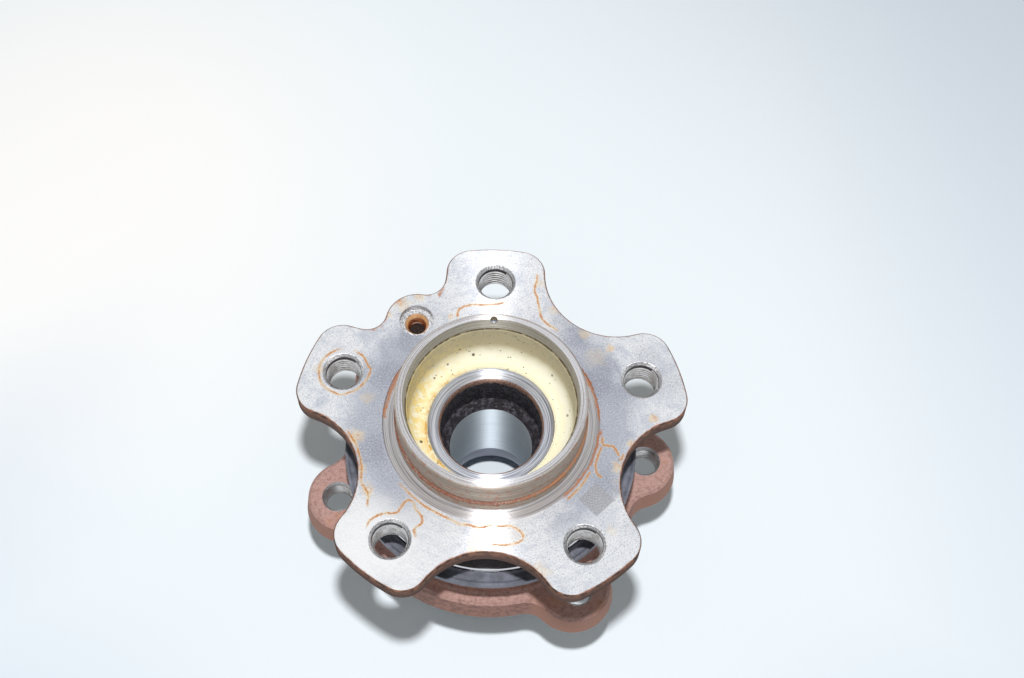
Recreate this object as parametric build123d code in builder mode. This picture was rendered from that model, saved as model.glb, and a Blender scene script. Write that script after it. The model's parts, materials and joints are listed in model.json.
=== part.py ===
"""Flanged wheel hub bearing for a five-bolt wheel, driven through a face spline.

Millimetres. The origin is on the bearing axis in the face that the wheel and brake disc seat on,
+Z points out at the wheel and one wheel-bolt hole lies on +Y. The hub turns in two rows of balls
inside an outer ring whose four threaded ears bolt to the knuckle.
"""
from math import asin, cos, pi, radians, sin, tan
import os

from build123d import *

os.makedirs("parts", exist_ok=True)

# ---- wheel flange ----
FLANGE_D = 140.8  # over the tips of the arms
BOLT_PCD = 112.0
BOLT_COUNT = 5
BOLT_HOLE_D = 12.4  # tapping size of M14 x 1.5
BOLT_CHAMFER = 1.3
FIRST_BOLT = 90.0  # degrees from +X
SCALLOP_R = 25.5  # hollow between two arms
SCALLOP_ROOT_R = 49.0  # its nearest point to the axis
ARM_CORNER_R = 9.5
FLANGE_EDGE_T = 6.8
FLANGE_BREAK = 0.6  # edge break round the arms
BOSS_T = 12.8  # flange thickness at a bolt hole
BOSS_R = 12.6
BOSS_DRAFT = 12.0
WEB_OVERLAP = 3.0  # width of flange that the turned body and the arms share

# ---- brake-disc screw ----
SCREW_CENTRE_R = 48.1  # distance of the screw from the axis
LUG_R = 11.4
LUG_FILLET = 7.0
SCREW_CBORE_D = 12.5
SCREW_CBORE_T = 2.6
SCREW_CONE_D = 8.8
SCREW_CONE_T = 1.6
SCREW_HOLE_D = 6.8  # tapping size of M8

# ---- wheel spigot and bowl ----
WHEEL_SEAT_D = 66.5
SPIGOT_H = 17.5
SPIGOT_CHAMFER = 0.8
DISC_SEAT_D = 67.8
DISC_SEAT_H = 5.2
RELIEF_W = 4.4  # relief groove round the foot of the spigot
RELIEF_T = 1.0
RIM_T = 1.95  # flat top of the spigot ring
RIM_CONE_T = 5.2  # machined cone inside the ring
RIM_CONE_IN = 0.7
BOWL_STEP = 0.6
BOWL_FILLET = 5.5
BOWL_FLOOR_Z = -4.4
INDEX_R = 1.3  # centre-punch mark on the rim, in line with the first bolt

# ---- bore, spindle and rolled collar ----
SEAT_FACE_D = 43.2  # machined face round the mouth of the bore
SEAT_FACE_T = 1.0
COUNTERBORE_D = 36.4
COUNTERBORE_T = 14.8
BORE_BREAK = 0.5
BORE_D = 30.0
SHAFT_STOP_Z = -58.5  # straight bore ends and the rolled mouth begins
MOUTH_R = 35.0
COLLAR_D = 58.6
COLLAR_T = 6.5
COLLAR_SHOULDER = 1.3  # chamfer towards the inner ring
COLLAR_ROLL_R = 2.2  # rounded edge towards the drive-shaft joint
SPLINE_TEETH = 48
SPLINE_T = 2.2
SPLINE_FLANK = 30.0  # degrees from the axis
GAP_RUN_IN = 1.4  # each cut starts this far inside the mouth
GAP_RUN_OUT = 0.3

# ---- ball rows ----
BALL_D = 12.7
ROW_Z = (-38.5, -60.0)  # outboard, inboard
ROW_PITCH_D = (76.0, 68.0)
RACE_GAP = 0.3  # free room round a ball in its race
RACE_SHOULDER = 65.0  # degrees of groove wrapped round the ball on the loaded side
RACE_LIP = 20.0  # degrees on the open side of the inner ring
CAGE_T = 3.2
CAGE_TILT = 16.0
CAGE_RIM = 1.55
CAGE_REACH = 4.6
CAGE_PLAY = 0.05
CAGE_WEB_T = 2.8  # least width of web between two balls

# ---- rings ----
INNER_RING_WALL = 3.85  # under the groove
INNER_RING_ABOVE = 13.0  # from the row's centre to the wheel-side end
INNER_RING_W = 26.5
INNER_RING_CHAMFER = 2.0
RING_BREAK = 0.4  # broken edge of a ground ring
OUTER_RING_Z = (-25.0, -73.0)  # wheel-side and knuckle-side ends
NOSE_WALL = 4.4
NOSE_BREAK = 0.8
NOSE_FILLET = 2.6  # between the nose and the ring of ears
RACE_LAND = 1.6  # straight bore beside each race
PILOT_D = 90.0
PILOT_LEAD_T = 1.5  # lead-in at the end of the pilot
PILOT_LEAD_W = 0.75
PILOT_RELIEF_W = 2.5
PILOT_RELIEF_T = 0.6
RING_STEP_R = 0.3  # seal seats stand this much outside the races
KNUCKLE_FACE_Z = -50.0
EAR_T = 10.0
EAR_RING_R = 54.5
EAR_R = 13.7
EAR_CENTRE_R = 55.2
EAR_FILLET = 10.0
EAR_DRAFT = 8.0
EAR_EDGE = 1.0
EAR_HOLE_R = 58.0  # distance of the knuckle bolts from the axis
EAR_HOLE_D = 10.4  # tapping size of M12 x 1.5
EAR_CHAMFER = 0.7
EAR_AXIS = 69.3  # degrees: the line the four ears mirror about
EAR_SPREAD = (66.2, 125.2)  # degrees either side of that line

# ---- seals ----
SHEET_T = 0.8
SHEET_BEND = 0.4  # outside of a bend in the sheet
SEAL_LAND_R = 36.4
NECK_FILLET = 5.0
NECK_Z = -13.5  # back of the flange at the neck
SEAL_RUN = 0.3  # free room between a seal and what turns in it
SLINGER_Z = -21.6
SLINGER_SLEEVE = 7.0
SLINGER_TURN = 1.6  # height of its turned-down edge
SHIELD_WALL = 3.65  # rubber round the nose of the outer ring
SHIELD_FACE_W = 4.8  # face of the rubber outside the slinger
SHIELD_T = 1.2  # rubber over the flange of the seal case
SHIELD_LIP_W = 0.8
SHIELD_RIM_W = 1.6
SHIELD_HOLLOW = 0.4
SHIELD_SKIRT = 2.6
OUTER_SEAL_T = 4.2
INNER_SEAL_T = 4.0
CASE_RECESS = 0.4  # the knuckle-side seal sits this far inside the ring
LIP_BODY = 1.6
LIP_EDGE = 0.4  # width of the main wiping edge
LIP_GAP = 1.6  # from the main wiping edge to the dust lip
LIP_T = 0.8
LIP_STEM = 4.8  # sleeve to the root of the wheel-side lips
ENCODER_T = 1.0
ENCODER_W = 6.5

NEAR = 0.01  # lengths closer than this count as the same

# ---- worked out from the sizes above ----
ball_r = BALL_D / 2
groove_r = ball_r + RACE_GAP
row_r = [pitch / 2 for pitch in ROW_PITCH_D]
arm_angles = [FIRST_BOLT + 360 / BOLT_COUNT * n for n in range(BOLT_COUNT)]
screw_angle = FIRST_BOLT + 180 / BOLT_COUNT
ear_angles = [EAR_AXIS + side * spread for spread in EAR_SPREAD for side in (-1, 1)]
scallop_centre = SCALLOP_ROOT_R + SCALLOP_R
seat_r = row_r[1] - groove_r - INNER_RING_WALL
inner_ring_top = ROW_Z[1] + INNER_RING_ABOVE
collar_top = inner_ring_top - INNER_RING_W
end_z = collar_top - COLLAR_T
seal_bore = [r + groove_r + RING_STEP_R for r in row_r]
nose_r = seal_bore[0] + NOSE_WALL
shield_r = nose_r + SHIELD_WALL
slinger_r = shield_r - SHIELD_FACE_W - SEAL_RUN
web_r = SCALLOP_ROOT_R - WEB_OVERLAP
ear_top = KNUCKLE_FACE_Z + EAR_T

# the roots of the lug have room on the scallop up to where the arms' rounded corners begin
corner_centre = FLANGE_D / 2 - ARM_CORNER_R
corner_gap = SCALLOP_R + ARM_CORNER_R
corner_cos = (scallop_centre**2 + corner_gap**2 - corner_centre**2) / (2 * scallop_centre * corner_gap)
lug_gap = scallop_centre - SCREW_CENTRE_R
lug_span = lug_gap**2 + SCALLOP_R**2 - LUG_R**2 - 2 * lug_gap * SCALLOP_R * corner_cos
lug_room = lug_span / (2 * (LUG_R + SCALLOP_R - lug_gap * corner_cos)) - NEAR

mouth_angle = asin((SHAFT_STOP_Z - end_z) / MOUTH_R)
mouth_r = BORE_D / 2 + MOUTH_R * (1 - cos(mouth_angle))


def polar(radius, angle):
    """Point at a radius and angle (degrees) in the plane of the flange."""
    return radius * cos(radians(angle)), radius * sin(radians(angle))


def race(row, angle, radius=groove_r):
    """Point on a row's groove section; 0 degrees points away from the axis, 90 at the wheel."""
    return row_r[row] + radius * cos(radians(angle)), ROW_Z[row] + radius * sin(radians(angle))


def race_arc(row, start, end):
    """Arc of a row's groove section between two angles."""
    return ThreePointArc(race(row, start), race(row, (start + end) / 2), race(row, end))


def rims(piece, radius):
    """Circular edges of one radius, such as both ends of a set of through holes."""
    circles = piece.edges().filter_by(GeomType.CIRCLE)
    return circles.filter_by(lambda edge: abs(edge.radius - radius) < NEAR)


def save(piece, name):
    """Label a finished piece and write it as its own node."""
    piece.part.label = name
    export_step(piece.part, f"parts/{name}.step")


# ---- hub: wheel arms ----
with BuildPart() as arms:
    with BuildSketch(Plane.XY) as arm_outline:
        Circle(FLANGE_D / 2)
        for angle in arm_angles:
            with Locations(polar(scallop_centre, angle + 180 / BOLT_COUNT)):
                Circle(SCALLOP_R, mode=Mode.SUBTRACT)
        tips = [v for v in arm_outline.vertices() if Vector(v.X, v.Y).length > BOLT_PCD / 2]
        fillet(tips, ARM_CORNER_R)
        with Locations(polar(SCREW_CENTRE_R, screw_angle)):
            Circle(LUG_R)
        lug_centre = Vector(*polar(SCREW_CENTRE_R, screw_angle))
        lug_roots = [v for v in arm_outline.vertices()
                     if abs((Vector(v.X, v.Y) - lug_centre).length - LUG_R) < NEAR]
        fillet(lug_roots, min(LUG_FILLET, lug_room))
    extrude(amount=-FLANGE_EDGE_T)
    chamfer(arms.faces().sort_by(Axis.Z)[-1].edges(), FLANGE_BREAK)
    with BuildSketch(Plane.XY.offset(-FLANGE_EDGE_T)):
        with PolarLocations(0, BOLT_COUNT, start_angle=FIRST_BOLT):
            with Locations((BOLT_PCD / 2, 0)):
                Circle(BOSS_R)
            with Locations((BOLT_PCD / 4, 0)):
                Rectangle(BOLT_PCD / 2, 2 * BOSS_R)
    extrude(amount=FLANGE_EDGE_T - BOSS_T, taper=BOSS_DRAFT)
    Hole(web_r - WEB_OVERLAP)

# ---- hub: one gap of the face spline, a vee whose root climbs away from the axis ----
collar_r = COLLAR_D / 2
gap_start = mouth_r - GAP_RUN_IN
gap_root = Plane(
    (gap_start, 0, end_z + SPLINE_T * gap_start / collar_r),
    x_dir=(0, 1, 0),
    z_dir=(collar_r, 0, SPLINE_T),
)
gap_t = SPLINE_T * (collar_r + 2 * GAP_RUN_OUT) / collar_r
gap_half = gap_t * tan(radians(SPLINE_FLANK))
with BuildPart() as tooth_gap:
    with BuildSketch(gap_root):
        with BuildLine():
            Polyline((0, 0), (gap_half, -gap_t), (-gap_half, -gap_t), close=True)
        make_face()
    extrude(amount=collar_r + GAP_RUN_OUT - gap_start)

# ---- hub ----
wheel_seat_r = WHEEL_SEAT_D / 2
disc_seat_r = DISC_SEAT_D / 2
rim_r = wheel_seat_r - SPIGOT_CHAMFER - RIM_T
bowl_r = rim_r - RIM_CONE_IN - BOWL_STEP
bolt_hole_r = BOLT_HOLE_D / 2
seat_face_r = SEAT_FACE_D / 2
seat_face_z = BOWL_FLOOR_Z - SEAT_FACE_T
counterbore_z = seat_face_z - COUNTERBORE_T
with BuildPart() as hub_flange:
    with BuildSketch(Plane.XZ):
        with BuildLine():
            Polyline(
                (rim_r, SPIGOT_H),
                (wheel_seat_r - SPIGOT_CHAMFER, SPIGOT_H),
                (wheel_seat_r, SPIGOT_H - SPIGOT_CHAMFER),
                (wheel_seat_r, DISC_SEAT_H),
                (disc_seat_r, DISC_SEAT_H + wheel_seat_r - disc_seat_r),
                (disc_seat_r, -RELIEF_T),
                (disc_seat_r + RELIEF_W, -RELIEF_T),
                (disc_seat_r + RELIEF_W, 0),
                (web_r, 0),
                (web_r, -FLANGE_EDGE_T),
                (SEAL_LAND_R + NECK_FILLET, NECK_Z),
            )
            RadiusArc((SEAL_LAND_R + NECK_FILLET, NECK_Z),
                      (SEAL_LAND_R, NECK_Z - NECK_FILLET), NECK_FILLET)
            shoulder = race(0, 180 - RACE_SHOULDER)
            Polyline(
                (SEAL_LAND_R, NECK_Z - NECK_FILLET),
                (SEAL_LAND_R, shoulder[1] + SEAL_LAND_R - shoulder[0]),
                shoulder,
            )
            race_arc(0, 180 - RACE_SHOULDER, 180)
            Polyline(
                race(0, 180),
                (race(0, 180)[0], inner_ring_top),
                (seat_r, inner_ring_top),
                (seat_r, collar_top + INNER_RING_CHAMFER),
                (seat_r + INNER_RING_CHAMFER, collar_top),
                (collar_r - COLLAR_SHOULDER, collar_top),
                (collar_r, collar_top - COLLAR_SHOULDER),
                (collar_r, end_z + COLLAR_ROLL_R),
            )
            RadiusArc((collar_r, end_z + COLLAR_ROLL_R), (collar_r - COLLAR_ROLL_R, end_z), COLLAR_ROLL_R)
            Line((collar_r - COLLAR_ROLL_R, end_z), (mouth_r, end_z))
            RadiusArc((mouth_r, end_z), (BORE_D / 2, SHAFT_STOP_Z), MOUTH_R)
            Polyline(
                (BORE_D / 2, SHAFT_STOP_Z),
                (BORE_D / 2, counterbore_z + BORE_D / 2 - COUNTERBORE_D / 2),
                (COUNTERBORE_D / 2, counterbore_z),
                (COUNTERBORE_D / 2, seat_face_z - BORE_BREAK),
                (COUNTERBORE_D / 2 + BORE_BREAK, seat_face_z),
                (seat_face_r, seat_face_z),
                (seat_face_r + SEAT_FACE_T, BOWL_FLOOR_Z),
                (bowl_r - BOWL_FILLET, BOWL_FLOOR_Z),
            )
            RadiusArc((bowl_r - BOWL_FILLET, BOWL_FLOOR_Z),
                      (bowl_r, BOWL_FLOOR_Z + BOWL_FILLET), -BOWL_FILLET)
            Polyline(
                (bowl_r, BOWL_FLOOR_Z + BOWL_FILLET),
                (bowl_r, SPIGOT_H - RIM_CONE_T - BOWL_STEP / 2),
                (bowl_r + BOWL_STEP, SPIGOT_H - RIM_CONE_T),
                (rim_r, SPIGOT_H),
            )
        make_face()
    revolve(axis=Axis.Z)
    add(arms.part)
    with PolarLocations(BOLT_PCD / 2, BOLT_COUNT, start_angle=FIRST_BOLT):
        Hole(bolt_hole_r)
        with Locations((0, 0, -BOLT_CHAMFER / 2)):
            Cone(bolt_hole_r, bolt_hole_r + BOLT_CHAMFER, BOLT_CHAMFER, mode=Mode.SUBTRACT)
        with Locations((0, 0, BOLT_CHAMFER / 2 - BOSS_T)):
            Cone(bolt_hole_r + BOLT_CHAMFER, bolt_hole_r, BOLT_CHAMFER, mode=Mode.SUBTRACT)
    with Locations(polar(SCREW_CENTRE_R, screw_angle)):
        CounterBoreHole(SCREW_HOLE_D / 2, SCREW_CBORE_D / 2, SCREW_CBORE_T)
        with Locations((0, 0, -SCREW_CBORE_T - SCREW_CONE_T / 2)):
            Cone(SCREW_HOLE_D / 2, SCREW_CONE_D / 2, SCREW_CONE_T, mode=Mode.SUBTRACT)
    with Locations((*polar(rim_r, FIRST_BOLT), SPIGOT_H - INDEX_R)):
        Sphere(INDEX_R, mode=Mode.SUBTRACT)
    with PolarLocations(0, SPLINE_TEETH):
        add(tooth_gap.part, mode=Mode.SUBTRACT)
save(hub_flange, "hub_flange")

# ---- inner ring of the inboard row, pressed on the spindle ----
land_r = race(1, RACE_SHOULDER - 180)[0]
with BuildPart() as inner_ring:
    with BuildSketch(Plane.XZ):
        with BuildLine():
            low = race(1, 180 - RACE_LIP)
            high = race(1, 180 + RACE_SHOULDER)
            Polyline(
                high,
                (land_r, collar_top + RING_BREAK),
                (land_r - RING_BREAK, collar_top),
                (seat_r + INNER_RING_CHAMFER, collar_top),
                (seat_r, collar_top + INNER_RING_CHAMFER),
                (seat_r, inner_ring_top),
                (low[0], inner_ring_top),
                low,
            )
            race_arc(1, 180 - RACE_LIP, 180 + RACE_SHOULDER)
        make_face()
    revolve(axis=Axis.Z)
save(inner_ring, "inner_ring")

# ---- outer ring: the ring of knuckle ears ----
with BuildPart() as ears:
    with BuildSketch(Plane.XY.offset(ear_top)) as ear_outline:
        Circle(EAR_RING_R)
        for angle in ear_angles:
            with Locations(polar(EAR_CENTRE_R, angle)):
                Circle(EAR_R)
        fillet(ear_outline.vertices(), EAR_FILLET)
    extrude(amount=-EAR_T)
    draft(ears.faces().filter_by(GeomType.CYLINDER), Plane.XY.offset(ear_top), EAR_DRAFT)
    chamfer(ears.faces().sort_by(Axis.Z)[-1].edges(), EAR_EDGE)
    for angle in ear_angles:
        with Locations((*polar(EAR_HOLE_R, angle), ear_top)):
            Hole(EAR_HOLE_D / 2)
    chamfer(rims(ears, EAR_HOLE_D / 2), EAR_CHAMFER)
    with Locations((0, 0, ear_top)):
        Hole(nose_r)

# ---- outer ring ----
pilot_r = PILOT_D / 2
outboard_end, inboard_end = OUTER_RING_Z
with BuildPart() as outer_ring:
    with BuildSketch(Plane.XZ):
        with BuildLine():
            land = (race(0, -RACE_SHOULDER), race(1, RACE_SHOULDER))
            Polyline(
                race(0, 0),
                (race(0, 0)[0], outboard_end - OUTER_SEAL_T - SHEET_T),
                (seal_bore[0], outboard_end - OUTER_SEAL_T - SHEET_T),
                (seal_bore[0], outboard_end),
                (nose_r - NOSE_BREAK, outboard_end),
                (nose_r, outboard_end - NOSE_BREAK),
                (nose_r, ear_top + NOSE_FILLET),
            )
            RadiusArc((nose_r, ear_top + NOSE_FILLET), (nose_r + NOSE_FILLET, ear_top), -NOSE_FILLET)
            Polyline(
                (nose_r + NOSE_FILLET, ear_top),
                (nose_r + NOSE_FILLET, KNUCKLE_FACE_Z),
                (pilot_r - PILOT_RELIEF_T, KNUCKLE_FACE_Z),
                (pilot_r - PILOT_RELIEF_T, KNUCKLE_FACE_Z - PILOT_RELIEF_W),
                (pilot_r, KNUCKLE_FACE_Z - PILOT_RELIEF_W - PILOT_RELIEF_T),
                (pilot_r, inboard_end + PILOT_LEAD_T),
                (pilot_r - PILOT_LEAD_W, inboard_end),
                (seal_bore[1], inboard_end),
                (seal_bore[1], inboard_end + INNER_SEAL_T),
                (race(1, 0)[0], inboard_end + INNER_SEAL_T),
                race(1, 0),
            )
            race_arc(1, 0, RACE_SHOULDER)
            Polyline(
                land[1],
                (land[1][0], land[1][1] + RACE_LAND),
                (land[0][0], land[0][1] - RACE_LAND),
                land[0],
            )
            race_arc(0, -RACE_SHOULDER, 0)
        make_face()
    revolve(axis=Axis.Z)
    add(ears.part)
save(outer_ring, "outer_ring")

# ---- balls and cages ----
for row, name in enumerate(("outboard", "inboard")):
    side = 1 if row == 0 else -1
    count = int(2 * pi * row_r[row] / (BALL_D + CAGE_WEB_T))
    for number in range(count):
        with BuildPart() as ball:
            with Locations((*polar(row_r[row], 360 / count * number), ROW_Z[row])):
                Sphere(ball_r)
        save(ball, f"{name}_ball_{number + 1:02d}")

    rim, fingers = side * (ball_r + CAGE_RIM), -side * CAGE_REACH
    lean = side * tan(radians(CAGE_TILT))
    with BuildPart() as cage:
        with BuildSketch(Plane.XZ):
            with BuildLine():
                Polyline(*[(row_r[row] + lean * along + across, ROW_Z[row] + along)
                           for along, across in ((rim, -CAGE_T / 2), (rim, CAGE_T / 2),
                                                 (fingers, CAGE_T / 2), (fingers, -CAGE_T / 2))],
                         close=True)
            make_face()
        revolve(axis=Axis.Z)
        with PolarLocations(0, count):
            with Locations((row_r[row], 0, ROW_Z[row])):
                Cylinder(ball_r + CAGE_PLAY, BALL_D, rotation=(0, 90 + side * CAGE_TILT, 0),
                         mode=Mode.SUBTRACT)
    save(cage, f"{name}_cage")


def turned(*points):
    """Ring turned from a closed (radius, z) outline."""
    with BuildPart() as ring:
        with BuildSketch(Plane.XZ):
            with BuildLine():
                Polyline(*points, close=True)
            make_face()
        revolve(axis=Axis.Z)
    return ring


# ---- wheel-side seal ----
bore = seal_bore[0]
sleeve_r = SEAL_LAND_R + SHEET_T
save(turned(
    (SEAL_LAND_R, SLINGER_Z),
    (slinger_r - SHEET_BEND, SLINGER_Z),
    (slinger_r, SLINGER_Z - SHEET_BEND),
    (slinger_r, SLINGER_Z - SLINGER_TURN),
    (slinger_r - SHEET_T, SLINGER_Z - SLINGER_TURN),
    (slinger_r - SHEET_T, SLINGER_Z - SHEET_T),
    (sleeve_r, SLINGER_Z - SHEET_T),
    (sleeve_r, SLINGER_Z - SLINGER_SLEEVE),
    (SEAL_LAND_R, SLINGER_Z - SLINGER_SLEEVE),
), "outboard_slinger")

case_floor = outboard_end - OUTER_SEAL_T
lip_root_r = sleeve_r + LIP_STEM
save(turned(
    (bore - SHEET_T, outboard_end + SHEET_T),
    (nose_r, outboard_end + SHEET_T),
    (nose_r, outboard_end),
    (bore, outboard_end),
    (bore, case_floor),
    (lip_root_r, case_floor),
    (lip_root_r, case_floor + SHEET_T),
    (bore - SHEET_T, case_floor + SHEET_T),
), "outboard_seal_case")

shield_top = outboard_end + SHEET_T + SHIELD_T
shield_in = slinger_r + SEAL_RUN
save(turned(
    (shield_in, outboard_end + SHEET_T),
    (shield_in, shield_top),
    (shield_in + SHIELD_LIP_W, shield_top - SHIELD_HOLLOW),
    (shield_r - SHIELD_RIM_W, shield_top - SHIELD_HOLLOW),
    (shield_r - SHIELD_RIM_W / 2, shield_top),
    (shield_r, shield_top),
    (shield_r, outboard_end - NOSE_BREAK),
    (shield_r - SHIELD_T, outboard_end - SHIELD_SKIRT),
    (nose_r, outboard_end - SHIELD_SKIRT),
    (nose_r, outboard_end + SHEET_T),
), "outboard_seal_rubber")

save(turned(
    (lip_root_r - LIP_BODY, case_floor - LIP_EDGE),
    (sleeve_r + SEAL_RUN, case_floor - LIP_EDGE),
    (sleeve_r + SEAL_RUN, case_floor),
    (sleeve_r + LIP_BODY, case_floor + LIP_EDGE),
    (sleeve_r + SEAL_RUN, case_floor + LIP_GAP),
    (sleeve_r + SEAL_RUN, case_floor + LIP_GAP + LIP_T),
    (sleeve_r + LIP_BODY, case_floor + LIP_GAP),
    (lip_root_r - LIP_BODY, case_floor + LIP_GAP + LIP_T),
    (lip_root_r + LIP_T, SLINGER_Z - SHEET_T - SEAL_RUN),
    (lip_root_r, case_floor + SHEET_T),
    (lip_root_r, case_floor),
), "outboard_seal_lip")

# ---- knuckle-side seal and the magnet ring for the wheel-speed sensor ----
bore = seal_bore[1]
sleeve_r = land_r + SHEET_T
case_floor = inboard_end + INNER_SEAL_T
slinger_z = inboard_end
lip_root_r = sleeve_r + 2 * LIP_BODY
disc_r = bore - SHEET_T - SEAL_RUN
save(turned(
    (bore - SHEET_T, inboard_end + CASE_RECESS),
    (bore, inboard_end + CASE_RECESS),
    (bore, case_floor),
    (lip_root_r, case_floor),
    (lip_root_r, case_floor - SHEET_T),
    (bore - SHEET_T, case_floor - SHEET_T),
), "inboard_seal_case")

save(turned(
    (lip_root_r, case_floor),
    (sleeve_r + LIP_BODY, case_floor),
    (sleeve_r + SEAL_RUN, case_floor + LIP_EDGE),
    (sleeve_r + SEAL_RUN, case_floor - LIP_EDGE),
    (sleeve_r + LIP_BODY, case_floor - LIP_T),
    (sleeve_r + SEAL_RUN, case_floor - LIP_GAP),
    (sleeve_r + SEAL_RUN, case_floor - LIP_GAP - LIP_T),
    (lip_root_r, case_floor - LIP_GAP),
), "inboard_seal_lip")

save(turned(
    (land_r, case_floor),
    (sleeve_r, case_floor),
    (sleeve_r, slinger_z + SHEET_T),
    (disc_r, slinger_z + SHEET_T),
    (disc_r, slinger_z),
    (land_r, slinger_z),
), "inboard_slinger")

save(turned(
    (disc_r - ENCODER_W, slinger_z),
    (disc_r, slinger_z),
    (disc_r, slinger_z - ENCODER_T),
    (disc_r - ENCODER_W, slinger_z - ENCODER_T),
), "encoder_ring")
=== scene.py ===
"""Dressed model of a flanged wheel hub bearing: finishes, threads, wax, rust marks and a pale studio.

Metres in the part's own frame. The axis is Z, the wheel seats on Z = 0 and the knuckle side is below.
Materials work in millimetres, on Object coordinates scaled by a thousand.
"""

import json
import logging
import math
from dataclasses import dataclass
from enum import Enum
from typing import Sequence

import bmesh
import bpy
from mathutils import Matrix, Vector, noise
from mathutils.geometry import interpolate_bezier


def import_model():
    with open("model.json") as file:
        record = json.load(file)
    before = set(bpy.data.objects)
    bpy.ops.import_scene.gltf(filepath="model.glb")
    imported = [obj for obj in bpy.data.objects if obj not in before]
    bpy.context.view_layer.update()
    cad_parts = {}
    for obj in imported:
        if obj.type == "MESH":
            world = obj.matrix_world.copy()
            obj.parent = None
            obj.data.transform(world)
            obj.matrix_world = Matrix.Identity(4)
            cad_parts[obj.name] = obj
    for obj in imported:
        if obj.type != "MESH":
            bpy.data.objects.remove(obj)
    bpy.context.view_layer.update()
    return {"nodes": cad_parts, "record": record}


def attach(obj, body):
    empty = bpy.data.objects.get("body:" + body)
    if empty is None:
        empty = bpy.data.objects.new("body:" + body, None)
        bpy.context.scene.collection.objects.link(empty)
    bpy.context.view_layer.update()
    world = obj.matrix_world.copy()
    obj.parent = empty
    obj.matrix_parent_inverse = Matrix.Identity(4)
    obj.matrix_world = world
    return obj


MM = 0.001
log = logging.getLogger("hub_bearing")

Colour = tuple[float, float, float, float]
Socket = bpy.types.NodeSocket


def tone(red: int, green: int, blue: int) -> Colour:
    """Linear colour of a tone given in 0 to 255 display values.

    Args:
        red: Red display value.
        green: Green display value.
        blue: Blue display value.

    Returns:
        The colour for a shader socket.
    """
    parts = [c / 255 for c in (red, green, blue)]
    linear = [c / 12.92 if c <= 0.04045 else ((c + 0.055) / 1.055) ** 2.4 for c in parts]
    return linear[0], linear[1], linear[2], 1.0


def polar(radius: float, degrees: float) -> tuple[float, float]:
    """Place at a radius and an angle round the axis."""
    turn = math.radians(degrees)
    return radius * math.cos(turn), radius * math.sin(turn)


CUT_STEEL = tone(206, 206, 208)
CUT_STEEL_SHADE = tone(150, 148, 148)


@dataclass(frozen=True)
class HubPlaces:
    """Places on the wheel hub that its finishes and its dressing share, in millimetres and degrees."""

    bolt_circle_r: float = 56.0
    bolts: int = 5
    first_bolt: float = 90.0
    scallop_centre_r: float = 74.5
    first_scallop: float = 126.0
    screw: tuple[float, float] = (-28.27, 38.91)

    def bolt_holes(self) -> list[tuple[float, float]]:
        """Axes of the wheel-bolt holes."""
        return [polar(self.bolt_circle_r, self.first_bolt + 360 / self.bolts * n)
                for n in range(self.bolts)]

    def scallops(self) -> list[tuple[float, float]]:
        """Axes of the hollows between the arms."""
        return [polar(self.scallop_centre_r, self.first_scallop + 360 / self.bolts * n)
                for n in range(self.bolts)]


@dataclass(frozen=True)
class RingPlaces:
    """Places on the outer ring that its finish and its dressing share, in millimetres and degrees."""

    ear_hole_r: float = 58.0
    ears: tuple[float, ...] = (3.1, 135.5, -55.9, 194.5)

    def ear_holes(self) -> list[tuple[float, float]]:
        """Axes of the threaded holes in the ears."""
        return [polar(self.ear_hole_r, angle) for angle in self.ears]


HUB = HubPlaces()
RING = RingPlaces()


class Body(Enum):
    """Bodies that carry new pieces."""

    OUTER = "outer_ring"
    HUB = "hub"


class Slot(Enum):
    """Material slots of the record."""

    HUB = "hub_steel"
    FORGING = "forged_steel"
    BEARING = "bearing_steel"
    BALL = "ball_steel"
    SHEET = "stainless_sheet"
    RUBBER = "seal_rubber"
    MAGNET = "magnet_rubber"
    CAGE = "cage_plastic"


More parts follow.
